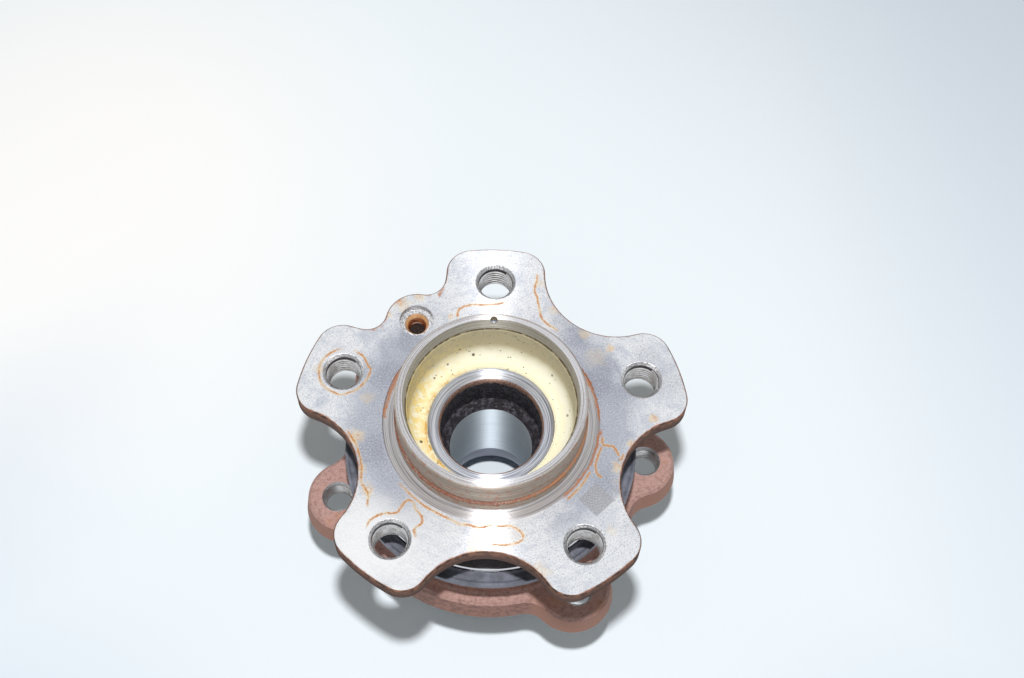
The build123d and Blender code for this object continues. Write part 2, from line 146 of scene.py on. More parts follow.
class Graph:
    """Node tree of one material, with short calls for the nodes that the finishes share."""

    def __init__(self, name: str) -> None:
        """Start a material with a Principled shader.

        Args:
            name: Name of the material.
        """
        self.material = bpy.data.materials.new(name)
        self.material.use_nodes = True
        self.nodes = self.material.node_tree.nodes
        self.links = self.material.node_tree.links
        self.shader = self.nodes["Principled BSDF"]
        self.look: tuple[object, object, object] | None = None
        coords = self.nodes.new("ShaderNodeTexCoord")
        self.mm = self.vector("SCALE", coords.outputs["Object"], scale=1000.0)
        facing = self.nodes.new("ShaderNodeSeparateXYZ")
        self.links.new(coords.outputs["Normal"], facing.inputs[0])
        self.upward = facing.outputs[2]
        split = self.nodes.new("ShaderNodeSeparateXYZ")
        self.links.new(self.mm, split.inputs[0])
        self.x, self.y, self.z = split.outputs
        self.r = self.math("SQRT", self.add(self.times(self.x, self.x), self.times(self.y, self.y)))
        self.turn = self.math("ARCTAN2", self.y, self.x)

    def feed(self, socket: Socket, value: object) -> None:
        """Set or link one input.

        Args:
            socket: The input.
            value: A socket to link, or a plain value.
        """
        if isinstance(value, bpy.types.NodeSocket):
            self.links.new(value, socket)
        elif value is not None:
            socket.default_value = value

    def math(self, operation: str, a: object, b: object = None) -> Socket:
        """Math node.

        Args:
            operation: Name of the operation.
            a: First operand.
            b: Second operand.

        Returns:
            The result.
        """
        node = self.nodes.new("ShaderNodeMath")
        node.operation = operation
        self.feed(node.inputs[0], a)
        self.feed(node.inputs[1], b)
        return node.outputs[0]

    def add(self, a: object, b: object) -> Socket:
        """Sum of two values."""
        return self.math("ADD", a, b)

    def less(self, a: object, b: object) -> Socket:
        """First value less the second."""
        return self.math("SUBTRACT", a, b)

    def times(self, a: object, b: object) -> Socket:
        """Product of two values."""
        return self.math("MULTIPLY", a, b)

    def most(self, a: object, b: object) -> Socket:
        """Greater of two values."""
        return self.math("MAXIMUM", a, b)

    def vector(self, operation: str, a: object, b: object = None, scale: object = None) -> Socket:
        """Vector Math node.

        Args:
            operation: Name of the operation.
            a: First vector.
            b: Second vector.
            scale: Factor for SCALE.

        Returns:
            The vector, or the number for DISTANCE.
        """
        node = self.nodes.new("ShaderNodeVectorMath")
        node.operation = operation
        self.feed(node.inputs[0], a)
        self.feed(node.inputs[1], b)
        if scale is not None:
            self.feed(node.inputs["Scale"], scale)
        return node.outputs["Value" if operation == "DISTANCE" else "Vector"]

    def pack(self, x: object, y: object, z: object) -> Socket:
        """Vector from three numbers.

        Args:
            x: Its first part.
            y: Its second part.
            z: Its third part.

        Returns:
            The vector.
        """
        node = self.nodes.new("ShaderNodeCombineXYZ")
        for socket, value in zip(node.inputs, (x, y, z)):
            self.feed(socket, value)
        return node.outputs[0]

    def off_axis(self, x: float, y: float) -> Socket:
        """Distance from the upright axis at a place."""
        return self.vector("DISTANCE", self.pack(self.x, self.y, 0.0), (x, y, 0.0))

    def off_circle(self, radius: float, count: int, first: float) -> Socket:
        """Distance from the nearest of the upright axes that stand evenly on a circle.

        Args:
            radius: Radius of the circle.
            count: How many axes stand on it.
            first: Angle of one of them, in degrees.

        Returns:
            The distance.
        """
        sector = math.tau / count
        turn = self.less(self.turn, math.radians(first))
        turn = self.less(turn, self.times(self.math("ROUND", self.math("DIVIDE", turn, sector)), sector))
        across = self.times(self.r, self.math("SINE", turn))
        along = self.less(self.times(self.r, self.math("COSINE", turn)), radius)
        return self.math("SQRT", self.add(self.times(across, across), self.times(along, along)))

    def turned(self, fine: float, along: float, detail: float = 2.0) -> Socket:
        """Noise drawn out round the axis, as a lathe leaves it.

        Args:
            fine: Rings per millimetre.
            along: Changes on the way round.
            detail: Octaves.

        Returns:
            A value between 0 and 1.
        """
        reach = self.most(self.r, 0.01)
        around = [self.times(self.math("DIVIDE", side, reach), along) for side in (self.x, self.y)]
        node = self.nodes.new("ShaderNodeTexNoise")
        node.noise_dimensions = "4D"
        self.feed(node.inputs["Vector"], self.pack(self.times(self.r, fine), *around))
        self.feed(node.inputs["W"], self.times(self.z, fine))
        node.inputs["Scale"].default_value = 1.0
        node.inputs["Detail"].default_value = detail
        return node.outputs[0]

    def comb(self, slope: object = 0.0) -> None:
        """Point the shader's tangent round the axis, for anisotropic turned metal.

        Args:
            slope: Where it climbs the slope instead, from 0 to 1.
        """
        node = self.nodes.new("ShaderNodeVectorTransform")
        node.vector_type, node.convert_from, node.convert_to = "VECTOR", "OBJECT", "WORLD"
        lay = self.pack(self.times(self.y, -1.0), self.x, 0.0)
        climb = self.vector("SUBTRACT", self.pack(self.x, self.y, self.r), lay)
        self.feed(node.inputs[0], self.vector("ADD", lay, self.vector("SCALE", climb, scale=slope)))
        self.links.new(node.outputs[0], self.shader.inputs["Tangent"])

    def noise(self, scale: float, detail: float = 3.0, rough: float = 0.5, warp: float = 0.0) -> Socket:
        """Noise between 0 and 1.

        Args:
            scale: Features per millimetre.
            detail: Octaves.
            rough: Share of each finer octave.
            warp: Distortion.

        Returns:
            The value.
        """
        node = self.nodes.new("ShaderNodeTexNoise")
        self.links.new(self.mm, node.inputs["Vector"])
        settings = {"Scale": scale, "Detail": detail, "Roughness": rough, "Distortion": warp}
        for key, value in settings.items():
            node.inputs[key].default_value = value
        return node.outputs[0]

    def cells(self, scale: float) -> Socket:
        """Distance to the nearest of scattered points, for specks.

        Args:
            scale: Points per millimetre.

        Returns:
            The distance, in point spacings.
        """
        node = self.nodes.new("ShaderNodeTexVoronoi")
        self.links.new(self.mm, node.inputs["Vector"])
        node.inputs["Scale"].default_value = scale
        return node.outputs["Distance"]

    def step(self, value: object, low: object, high: object, top: object = 1.0) -> Socket:
        """Smooth step from 0 at low to top at high; low may be the greater.

        Args:
            value: What is measured.
            low: Where the step starts.
            high: Where it ends.
            top: Value past the end.

        Returns:
            The step.
        """
        node = self.nodes.new("ShaderNodeMapRange")
        node.interpolation_type = "SMOOTHSTEP"
        for index, item in enumerate((value, low, high, 0.0, top)):
            self.feed(node.inputs[index], item)
        return node.outputs[0]

    def band(self, value: object, low: float, high: float, soft: float) -> Socket:
        """One between two limits, fading to nothing over soft at each."""
        return self.times(self.step(value, low - soft, low), self.step(value, high + soft, high))

    def mix(self, share: object, a: object, b: object) -> Socket:
        """Blend two colours.

        Args:
            share: How much of b, from 0 to 1.
            a: First colour.
            b: Second colour.

        Returns:
            The colour.
        """
        node = self.nodes.new("ShaderNodeMix")
        node.data_type = "RGBA"
        for index, value in ((0, share), (6, a), (7, b)):
            self.feed(node.inputs[index], value)
        return node.outputs[2]

    def between(self, share: object, a: object, b: object) -> Socket:
        """Blend two numbers.

        Args:
            share: How much of b, from 0 to 1.
            a: First number.
            b: Second number.

        Returns:
            The number.
        """
        node = self.nodes.new("ShaderNodeMix")
        for index, value in ((0, share), (2, a), (3, b)):
            self.feed(node.inputs[index], value)
        return node.outputs[0]

    def coat(self, mask: object, colour: object, metal: object, rough: object) -> None:
        """Lay one look over the look so far.

        Args:
            mask: Where the new look lies, from 0 to 1.
            colour: Its colour.
            metal: Its metallic share.
            rough: Its roughness.
        """
        if self.look is None:
            self.look = (colour, metal, rough)
            return
        self.look = (
            self.mix(mask, self.look[0], colour),
            self.between(mask, self.look[1], metal),
            self.between(mask, self.look[2], rough),
        )

    def bump(self, height: Socket, depth: float) -> None:
        """Raise the shader's surface by a height pattern.

        Args:
            height: Pattern from 0 to 1.
            depth: Relief in millimetres.
        """
        node = self.nodes.new("ShaderNodeBump")
        node.inputs["Distance"].default_value = depth * MM
        self.feed(node.inputs["Height"], height)
        self.links.new(node.outputs[0], self.shader.inputs["Normal"])

    def finish(self, **plain: float) -> bpy.types.Material:
        """Connect the look to the shader.

        Args:
            **plain: Numbers for the shader's other sockets, with _ for a space.

        Returns:
            The material.
        """
        for key, value in zip(("Base Color", "Metallic", "Roughness"), self.look):
            self.feed(self.shader.inputs[key], value)
        for key, value in plain.items():
            self.shader.inputs[key.replace("_", " ")].default_value = value
        return self.material


@dataclass(frozen=True)
class Mark:
    """Soft round patch on the wheel face, in millimetres."""

    x: float
    y: float
    radius: float
    share: float


@dataclass(frozen=True)
class GrooveStreak:
    """Rust that ran along the groove round the spigot; the ends are in degrees."""

    radius: float
    half_width: float
    start: float
    end: float


@dataclass(frozen=True)
class FaceFinish:
    """Turned wheel face, clouded and marked by damp."""

    pale: Colour = tone(241, 243, 246)
    cloud: Colour = tone(202, 207, 219)
    worn: Colour = tone(138, 142, 158)
    # painted shade for the face's left and right sides near the groove
    flank_shade: Colour = tone(172, 178, 192)
    rust: Colour = tone(198, 124, 70)
    ochre: Colour = tone(234, 212, 170)
    edge_rust: Colour = tone(188, 122, 78)
    metal: float = 0.2
    # painted highlight: near-white laid on the lower-left arm, where the flash's reflection falls
    glare_white: Colour = tone(253, 254, 255)
    dull: tuple[Mark, ...] = (
        Mark(-38.0, 17.0, 9.0, 0.7), Mark(37.0, 16.0, 12.0, 0.9), Mark(29.0, 34.0, 7.0, 0.8),
        Mark(-40.0, -13.0, 10.0, 0.7), Mark(48.0, 12.0, 11.0, 0.6), Mark(52.0, -38.0, 8.0, 0.3),
        Mark(-30.0, 30.0, 7.0, 0.7), Mark(42.0, -22.0, 9.0, 0.6), Mark(24.0, 41.0, 5.0, 0.5),
        Mark(56.0, 26.0, 7.0, 0.5), Mark(-31.0, -32.0, 6.0, 0.4), Mark(61.0, 17.0, 12.0, 0.45),
    )
    # patch of painted highlight on the lower-left arm
    lower_left_glare: Mark = Mark(-37.0, -48.0, 27.0, 0.7)
    haze: tuple[Mark, ...] = (
        Mark(-47.0, -8.0, 4.0, 0.8), Mark(-41.5, -28.0, 3.4, 0.8), Mark(-44.0, -20.0, 2.6, 0.5),
        Mark(42.3, 29.5, 2.2, 0.9), Mark(57.4, 2.3, 2.6, 0.9), Mark(37.0, 26.0, 6.0, 0.3),
        Mark(44.5, -16.5, 3.0, 0.8), Mark(47.0, -24.0, 6.0, 0.4), Mark(49.5, -8.0, 2.6, 0.8),
        Mark(18.0, -55.0, 4.6, 0.5), Mark(-4.0, -48.5, 5.0, 0.6), Mark(-16.0, 41.0, 2.0, 0.7),
        Mark(33.0, 35.0, 3.2, 0.6), Mark(22.0, 45.5, 3.0, 0.6), Mark(42.0, -40.0, 3.0, 0.3),
        Mark(-33.0, 44.0, 4.0, 0.5), Mark(-44.0, 7.0, 3.6, 0.4), Mark(16.5, 56.0, 2.4, 0.5),
        Mark(-61.5, 18.0, 3.0, 0.5), Mark(9.0, -42.0, 5.0, 0.2), Mark(-28.0, 49.5, 3.0, 0.8),
        Mark(-35.0, 46.5, 3.6, 1.0), Mark(-39.0, 41.0, 2.4, 0.8),
    )
    pad: tuple[float, float, float] = (36.9, -29.0, 6.3)
    pad_dark: Colour = tone(130, 131, 139)
    pad_light: Colour = tone(196, 197, 203)
    # outline of the flange, and where the painted shade at the face's sides and the painted highlight at
    # its bottom run out, in millimetres
    scallop_r: float = 25.5
    tip_r: float = 70.4
    lug_r: float = 11.4
    lug_out_r: float = 54.0
    flank_r: tuple[float, float] = (55.0, 45.0)
    flank_x: tuple[float, float] = (16.0, 32.0)
    glare_fade_y: tuple[float, float] = (-42.0, -26.0)

    def spot(self, g: Graph, mark: Mark, ragged: Socket, fray: float) -> Socket:
        """Mask of one patch.

        Args:
            g: The material's graph.
            mark: The patch.
            ragged: Pattern that frays its edge.
            fray: How far the edge wanders, in millimetres.

        Returns:
            The mask.
        """
        away = g.add(g.off_axis(mark.x, mark.y), g.times(g.less(ragged, 0.5), fray * 2.5))
        return g.step(away, mark.radius, mark.radius * 0.2, mark.share)

    def brim(self, g: Graph) -> Socket:
        """How near a place on the face is to the flange's outline, from 0 to 1.

        Args:
            g: The material's graph.

        Returns:
            The share, 1 just inside the outline and 0 from about a millimetre in.
        """
        hollow = g.off_circle(HUB.scallop_centre_r, HUB.bolts, HUB.first_scallop)
        to_screw = g.off_axis(*HUB.screw)
        clear = g.step(to_screw, self.lug_r + 0.5, self.lug_r + 2.0)
        hollow = g.times(g.step(hollow, self.scallop_r + 1.0, self.scallop_r + 0.2), clear)
        lug = g.times(g.step(to_screw, self.lug_r - 0.9, self.lug_r - 0.2),
                      g.step(to_screw, self.lug_r + 0.6, self.lug_r + 0.4))
        lug = g.times(lug, g.step(g.r, self.lug_out_r, self.lug_out_r + 2.0))
        return g.most(g.most(hollow, lug), g.step(g.r, self.tip_r - 0.9, self.tip_r - 0.2))

    def lay(self, g: Graph) -> None:
        """Coat a graph with the face.

        Args:
            g: The material's graph.
        """
        cloud, drift = g.noise(0.10, 5.0, 0.62, warp=0.5), g.noise(0.35, 4.0, 0.6)
        grain, fine = g.noise(1.7, 3.0, 0.68), g.noise(3.0, 1.0)
        rings = g.turned(2.4, 1.6)
        # the clouds thin out towards the bottom of the face, a painted highlight
        clouded = g.times(g.step(cloud, 0.46, 0.66, 0.75), g.add(0.45, g.step(g.y, *self.glare_fade_y, 0.55)))
        colour = g.mix(clouded, self.pale, self.cloud)
        colour = g.mix(g.step(drift, 0.5, 0.64, 0.4), colour, self.cloud)
        wide = g.math("ABSOLUTE", g.add(g.x, g.times(g.less(cloud, 0.5), 30.0)))
        reach = g.add(g.r, g.times(g.less(cloud, 0.5), 26.0))
        # painted shade: the face's left and right sides near the groove, darker where less light reflects
        flank_shade = g.times(g.step(reach, *self.flank_r), g.step(wide, *self.flank_x))
        colour = g.mix(g.times(flank_shade, g.step(grain, 0.2, 0.5, 0.85)), colour, self.flank_shade)
        dull: Socket | float = 0.0
        for mark in self.dull:
            dull = g.most(dull, self.spot(g, mark, cloud, mark.radius * 0.8))
        colour = g.mix(g.times(dull, g.step(grain, 0.22, 0.66, 0.85)), colour, self.worn)
        colour = g.mix(g.step(rings, 0.5, 0.74, 0.5), colour, self.cloud)
        colour = g.mix(g.step(grain, 0.52, 0.68, 0.6), colour, self.worn)
        colour = g.mix(g.step(fine, 0.54, 0.66, 0.45), colour, self.worn)
        # painted highlight on the lower-left arm
        colour = g.mix(self.spot(g, self.lower_left_glare, cloud, 10.0), colour, self.glare_white)
        haze: Socket | float = 0.0
        for mark in self.haze:
            haze = g.most(haze, self.spot(g, mark, drift, mark.radius * 0.9))
        colour = g.mix(g.times(haze, g.step(grain, 0.3, 0.6)), colour, self.ochre)
        patchy = g.step(g.add(g.times(grain, 0.5), g.times(drift, 0.5)), 0.47, 0.56, 0.9)
        colour = g.mix(g.times(g.times(haze, haze), patchy), colour, self.rust)
        colour = g.mix(g.times(self.brim(g), g.step(drift, 0.36, 0.58, 0.85)), colour, self.edge_rust)
        x0, y0, half = self.pad
        diamond = g.add(g.math("ABSOLUTE", g.less(g.x, x0)), g.math("ABSOLUTE", g.less(g.y, y0)))
        pad = g.step(g.add(diamond, g.times(g.less(grain, 0.5), 1.2)), half + 0.2, half - 0.4, 0.85)
        frost = g.mix(g.step(g.noise(2.8, 3.0, 0.75), 0.4, 0.6), self.pad_dark, self.pad_light)
        colour = g.mix(pad, colour, frost)
        metal = g.times(g.less(1.0, g.times(g.most(haze, pad), 0.7)), self.metal)
        g.coat(1.0, colour, metal, g.between(cloud, 0.24, 0.34))


@dataclass(frozen=True)
class HubFinish:
    """Machined, waxed and rust-marked steel of the wheel hub."""

    face: FaceFinish = FaceFinish()
    edge_light: Colour = tone(150, 104, 80)
    # dark edge tone, both rust and painted shade low on the edge
    edge_dark_and_shade: Colour = tone(72, 51, 44)
    # painted shade: near-black for the flange's back and every face that looks down
    back: Colour = tone(34, 31, 32)
    back_rust_in_shade: Colour = tone(54, 42, 38)
    rust: Colour = tone(172, 96, 58)
    rust_light: Colour = tone(214, 150, 98)
    rust_pale: Colour = tone(232, 184, 132)
    foot: Colour = tone(146, 84, 60)
    groove: Colour = tone(228, 225, 224)
    groove_shade: Colour = tone(158, 155, 158)
    wall: Colour = tone(200, 188, 175)
    wall_shade: Colour = tone(138, 122, 106)
    rim: Colour = tone(230, 229, 232)
    rim_shade: Colour = tone(168, 158, 150)
    cone: Colour = tone(220, 216, 206)
    cone_shade: Colour = tone(160, 154, 142)
    # the bowl's wax: near-white low down, where it is partly a painted highlight of the flash, and darker
    # olive up the wall
    wax: Colour = tone(254, 252, 234)
    wax_wall: Colour = tone(208, 198, 166)
    ledge: Colour = tone(150, 140, 112)
    wax_gold: Colour = tone(248, 232, 170)
    wax_yellow: Colour = tone(246, 217, 126)
    wax_amber: Colour = tone(228, 184, 102)
    speck: Colour = tone(84, 70, 42)
    seat: Colour = tone(240, 242, 249)
    seat_shade: Colour = tone(130, 133, 147)
    tar: Colour = tone(50, 47, 53)
    tar_film: Colour = tone(108, 105, 118)
    well_rust: Colour = tone(152, 118, 102)
    ground: Colour = tone(206, 216, 224)
    # painted shade for the hole wall between the thread crests
    thread_root_shade: Colour = tone(92, 90, 92)
    # sizes of the hub that bound its finishes, in millimetres
    disc_seat_r: float = 33.9
    disc_seat_h: float = 5.2
    groove_r: float = 38.3
    spigot_h: float = 17.5
    spigot_in_r: float = 32.55
    spigot_out_r: float = 34.3
    cone_r: float = 30.75
    cone_z: float = 12.3
    bowl_r: float = 29.7
    bowl_wall_z: tuple[float, float] = (-3.2, 2.8)
    floor_z: float = -4.4
    land_r: float = 22.6
    lip_r: float = 18.9
    well_r: float = 18.2
    well_z: float = -24.0
    bore_r: float = 15.0
    stop_z: float = -58.5
    mouth_r: float = 24.0
    edge_r: float = 40.0
    back_z: float = -6.7
    back_r: float = 23.8
    spindle_z: float = -46.8
    thread_r: float = 6.5
    bolt_rim: float = 7.5
    screw_rim: float = 6.3
    screw_cone: float = 4.7
    index: tuple[float, float, float] = (0.0, 30.5, 17.2)
    streaks: tuple[GrooveStreak, ...] = (
        GrooveStreak(37.6, 0.9, 150.0, 181.0), GrooveStreak(38.0, 0.6, 3.0, 32.0),
        GrooveStreak(38.3, 0.9, -28.0, -6.0), GrooveStreak(38.2, 1.1, -46.0, -30.0),
    )

    def lay_groove(self, g: Graph, lathe: Socket, coarse: Socket, fine: Socket) -> None:
        """Relief groove round the spigot, with the rust that ran in it.

        Args:
            g: The material's graph.
            lathe: Turned pattern.
            coarse: Coarse pattern.
            fine: Fine pattern.
        """
        groove = g.band(g.r, self.disc_seat_r, self.groove_r + 0.05, 0.06)
        groove = g.times(groove, g.step(g.z, 0.0, -0.15))
        g.coat(groove, g.mix(g.step(lathe, 0.4, 0.7), self.groove, self.groove_shade), 0.8, 0.3)
        degrees = g.times(g.turn, 180 / math.pi)
        run: Socket | float = 0.0
        for streak in self.streaks:
            away = g.math("ABSOLUTE", g.less(g.r, g.add(streak.radius, g.times(g.less(coarse, 0.5), 2.6))))
            line = g.step(away, streak.half_width, streak.half_width * 0.3)
            run = g.most(run, g.times(line, g.band(degrees, streak.start, streak.end, 3.0)))
        run = g.times(g.times(run, g.step(g.z, -1.5, -1.2)), g.step(fine, 0.2, 0.5, 0.9))
        run = g.times(run, g.step(g.r, self.disc_seat_r + 0.3, self.disc_seat_r + 0.7))
        g.coat(run, g.mix(fine, self.rust, self.rust_light), 0.1, 0.6)

    def lay_spigot(self, g: Graph, lathe: Socket, coarse: Socket, fine: Socket) -> None:
        """Spigot wall, its rusty foot, the flat top and the cone inside it.

        Args:
            g: The material's graph.
            lathe: Turned pattern.
            coarse: Coarse pattern.
            fine: Fine pattern.
        """
        outside = g.times(g.step(g.r, self.spigot_in_r, self.spigot_in_r + 0.2),
                          g.step(g.r, self.spigot_out_r, self.spigot_out_r - 0.2))
        outside = g.times(outside, g.step(g.z, 0.02, 0.1))
        wall = g.mix(g.step(lathe, 0.35, 0.7), self.wall, self.wall_shade)
        wall = g.mix(g.step(coarse, 0.48, 0.7, 0.6), wall, self.rust)
        g.coat(outside, wall, 0.24, 0.5)
        wander = g.add(g.z, g.times(g.less(coarse, 0.5), 3.4))
        foot = g.times(g.band(wander, self.disc_seat_h - 1.0, self.disc_seat_h + 0.5, 0.8),
                       g.step(fine, 0.26, 0.6))
        right = g.step(g.x, 0.0, 26.0)
        g.coat(g.times(outside, foot), g.mix(g.times(right, fine), self.foot, self.rust_light), 0.0, 0.65)
        inside = g.step(g.r, self.cone_r, self.cone_r - 0.15)
        top = g.step(g.z, self.spigot_h - 0.5, self.spigot_h - 0.25)
        crest = g.add(g.times(lathe, 0.8), g.times(fine, 0.2))
        crest = g.mix(g.step(crest, 0.42, 0.66), self.rim, self.rim_shade)
        g.coat(top, crest, 0.8, 0.27)
        cone = g.mix(g.step(lathe, 0.38, 0.7), self.cone, self.cone_shade)
        g.coat(g.times(inside, g.times(g.step(g.z, self.cone_z - 0.3, self.cone_z),
                                       g.step(g.z, self.spigot_h, self.spigot_h - 0.2))), cone, 0.45, 0.36)
        away = g.vector("DISTANCE", g.mm, self.index)
        g.coat(g.step(away, 1.45, 1.2), self.speck, 0.2, 0.6)

    def lay_bowl(self, g: Graph, coarse: Socket, fine: Socket) -> Socket:
        """Waxed bowl inside the spigot.

        Args:
            g: The material's graph.
            coarse: Coarse pattern.
            fine: Fine pattern.

        Returns:
            The mask of the bowl.
        """
        bowl = g.times(g.step(g.r, self.bowl_r, self.bowl_r - 0.2),
                       g.step(g.z, self.floor_z - 0.25, self.floor_z - 0.1))
        bowl = g.times(bowl, g.step(g.z, self.cone_z + 0.35, self.cone_z - 0.1))
        broad = g.noise(0.12, 3.0)
        # the colour steps darker up the bowl's wall and near-white towards the floor, where it is partly a
        # painted highlight
        high = g.step(g.add(g.z, g.times(g.less(broad, 0.5), 5.0)), *self.bowl_wall_z)
        left = g.step(g.x, -2.0, -22.0)
        wax = g.mix(high, self.wax, self.wax_wall)
        low = g.step(g.add(g.r, g.times(g.less(coarse, 0.5), 4.0)), 27.6, 25.2)
        wax = g.mix(g.times(low, 0.3), wax, self.wax_gold)
        wax = g.mix(g.times(left, g.step(coarse, 0.35, 0.68, 0.75)), wax, self.wax_gold)
        far_left = g.step(g.x, -19.0, -27.5)
        wax = g.mix(g.times(far_left, g.step(coarse, 0.38, 0.6, 0.7)), wax, self.wax_yellow)
        thick = g.times(g.step(g.add(g.r, g.times(coarse, 2.6)), 26.6, 25.2), g.step(coarse, 0.3, 0.6))
        wax = g.mix(g.times(thick, g.add(0.04, g.times(left, 0.45))), wax, self.wax_amber)
        for size, share in ((0.24, 0.9), (0.55, 0.85)):
            keep = g.step(g.noise(size * 0.6, 1.0), 0.46, 0.54, share)
            wax = g.mix(g.times(g.step(g.cells(size), 0.17, 0.1), keep), wax, self.speck)
        soiled = g.times(g.step(coarse, 0.5, 0.66, 0.4), g.step(g.z, 2.0, 9.0))
        wax = g.mix(g.times(g.step(fine, 0.42, 0.62), soiled), wax, self.speck)
        g.coat(bowl, wax, 0.0, 0.42)
        ledge = g.times(g.step(g.r, self.cone_r, self.cone_r - 0.15),
                        g.band(g.z, self.cone_z - 0.15, self.cone_z + 0.2, 0.15))
        g.coat(ledge, g.mix(g.step(coarse, 0.36, 0.56), self.ledge, self.speck), 0.0, 0.5)
        return bowl

    def lay_bore(self, g: Graph, lathe: Socket, coarse: Socket, fine: Socket) -> tuple[Socket, Socket]:
        """Seat face, tarred counterbore and ground bore.

        Args:
            g: The material's graph.
            lathe: Turned pattern.
            coarse: Coarse pattern.
            fine: Fine pattern.

        Returns:
            The masks of the tar and of the bore.
        """
        seat = g.times(g.step(g.r, self.land_r + 0.15, self.land_r - 0.05), g.step(g.z, -4.35, -4.6))
        g.coat(seat, g.mix(g.step(lathe, 0.35, 0.7), self.seat, self.seat_shade), 0.95, 0.29)
        lip = g.times(g.step(g.r, self.lip_r, self.lip_r - 0.25),
                      g.step(g.z, self.floor_z - 0.6, self.floor_z - 1.05))
        g.coat(lip, g.mix(g.step(fine, 0.44, 0.7), self.well_rust, self.tar), 0.4, 0.5)
        well = g.times(g.step(g.r, self.well_r + 0.1, self.well_r + 0.02),
                       g.step(g.add(g.z, g.times(coarse, 3.4)), self.floor_z - 1.0, self.floor_z - 2.2))
        well = g.times(well, g.step(g.z, self.well_z - 0.4, self.well_z - 0.1))
        film = g.mix(g.step(coarse, 0.47, 0.64, 0.5), self.tar, self.tar_film)
        g.coat(well, film, 0.0, g.between(fine, 0.08, 0.2))
        bore = g.step(g.r, self.bore_r + 0.06, self.bore_r + 0.02)
        g.coat(bore, g.mix(g.step(lathe, 0.45, 0.7, 0.25), self.ground, self.seat_shade), 1.0, 0.5)
        # painted shade: the flared lower end of the bore takes the darker steel tone
        mouth = g.times(g.step(g.r, self.mouth_r, self.mouth_r - 0.5),
                        g.step(g.z, self.stop_z + 0.1, self.stop_z - 0.1))
        g.coat(mouth, self.seat_shade, 1.0, 0.3)
        return g.times(well, g.less(1.0, bore)), bore

    def lay_rough(self, g: Graph, lathe: Socket, coarse: Socket, fine: Socket) -> Socket:
        """Forged edge and back, with painted shade low on the edge and under the flange, the tapped holes
        and the bright spindle.

        Args:
            g: The material's graph.
            lathe: Turned pattern.
            coarse: Coarse pattern.
            fine: Fine pattern.

        Returns:
            The mask of the forged skin.
        """
        edge = g.times(g.step(g.r, self.edge_r, self.edge_r + 1.0), g.step(g.z, -0.08, -0.3))
        # the edge darkens at random as rust and, lower down, as painted shade under the face
        edge_rust_and_low_shade = g.most(g.step(coarse, 0.35, 0.66), g.step(g.z, -1.2, -5.0, 0.85))
        g.coat(edge, g.mix(edge_rust_and_low_shade, self.edge_light, self.edge_dark_and_shade), 0.2, 0.6)
        # painted shade under the flange and on every face that looks down, with a little rust
        behind = g.most(g.step(g.z, self.back_z, self.back_z - 0.7), g.step(g.upward, -0.3, -0.6))
        behind = g.times(behind, g.step(g.r, self.back_r, self.back_r + 0.2))
        g.coat(behind, g.mix(coarse, self.back, self.back_rust_in_shade), 0.2, 0.6)
        below = g.step(g.z, -0.04, -0.14)
        cut = g.mix(g.step(fine, 0.4, 0.7), CUT_STEEL, CUT_STEEL_SHADE)
        to_bolt = g.off_circle(HUB.bolt_circle_r, HUB.bolts, HUB.first_bolt)
        # painted shade: the bolt-hole wall between the thread crests is darker
        cut = g.mix(g.step(to_bolt, self.thread_r, self.thread_r - 0.25), cut, self.thread_root_shade)
        g.coat(g.times(g.step(to_bolt, self.bolt_rim + 0.12, self.bolt_rim), below), cut, 0.8, 0.34)
        away = g.off_axis(*HUB.screw)
        g.coat(g.times(g.step(away, self.screw_rim + 0.1, self.screw_rim), below), cut, 0.9, 0.34)
        deep = g.times(g.step(away, self.screw_cone, self.screw_cone - 0.6), g.step(g.z, -2.5, -2.9))
        scab = g.mix(g.step(g.add(g.z, g.times(coarse, 4.0)), -1.0, -4.0), self.rust_pale, self.rust)
        g.coat(g.times(deep, g.step(fine, 0.1, 0.4)), scab, 0.1, 0.6)
        spindle = g.times(g.step(g.z, self.spindle_z, self.spindle_z - 0.2),
                          g.step(g.r, self.bore_r + 0.2, self.bore_r + 0.4))
        g.coat(spindle, g.mix(lathe, self.seat, self.seat_shade), 1.0, 0.34)
        return g.most(edge, behind)

    def material(self) -> bpy.types.Material:
        """Build the finish.

        Returns:
            The material.
        """
        g = Graph("hub_steel_finish")
        coarse, fine, lathe = g.noise(0.5, 4.0, 0.6), g.noise(1.6, 3.0, 0.6), g.turned(4.5, 1.3)
        self.face.lay(g)
        self.lay_groove(g, lathe, coarse, fine)
        self.lay_spigot(g, lathe, coarse, fine)
        bowl = self.lay_bowl(g, coarse, fine)
        g.comb(bowl)
        skin = self.lay_rough(g, lathe, coarse, fine)
        tar, bore = self.lay_bore(g, lathe, coarse, fine)
        height = g.times(g.noise(0.9, 4.0, 0.6), g.times(bowl, 0.5))
        height = g.add(height, g.times(lathe, g.between(bore, 0.05, 0.2)))
        height = g.add(height, g.times(g.noise(0.8, 2.0, 0.5), g.times(tar, 2.0)))
        height = g.add(height, g.times(fine, g.add(g.times(skin, 0.7), 0.04)))
        g.bump(height, 0.35)
        return g.finish(Anisotropic=1.0, Anisotropic_Rotation=0.25)


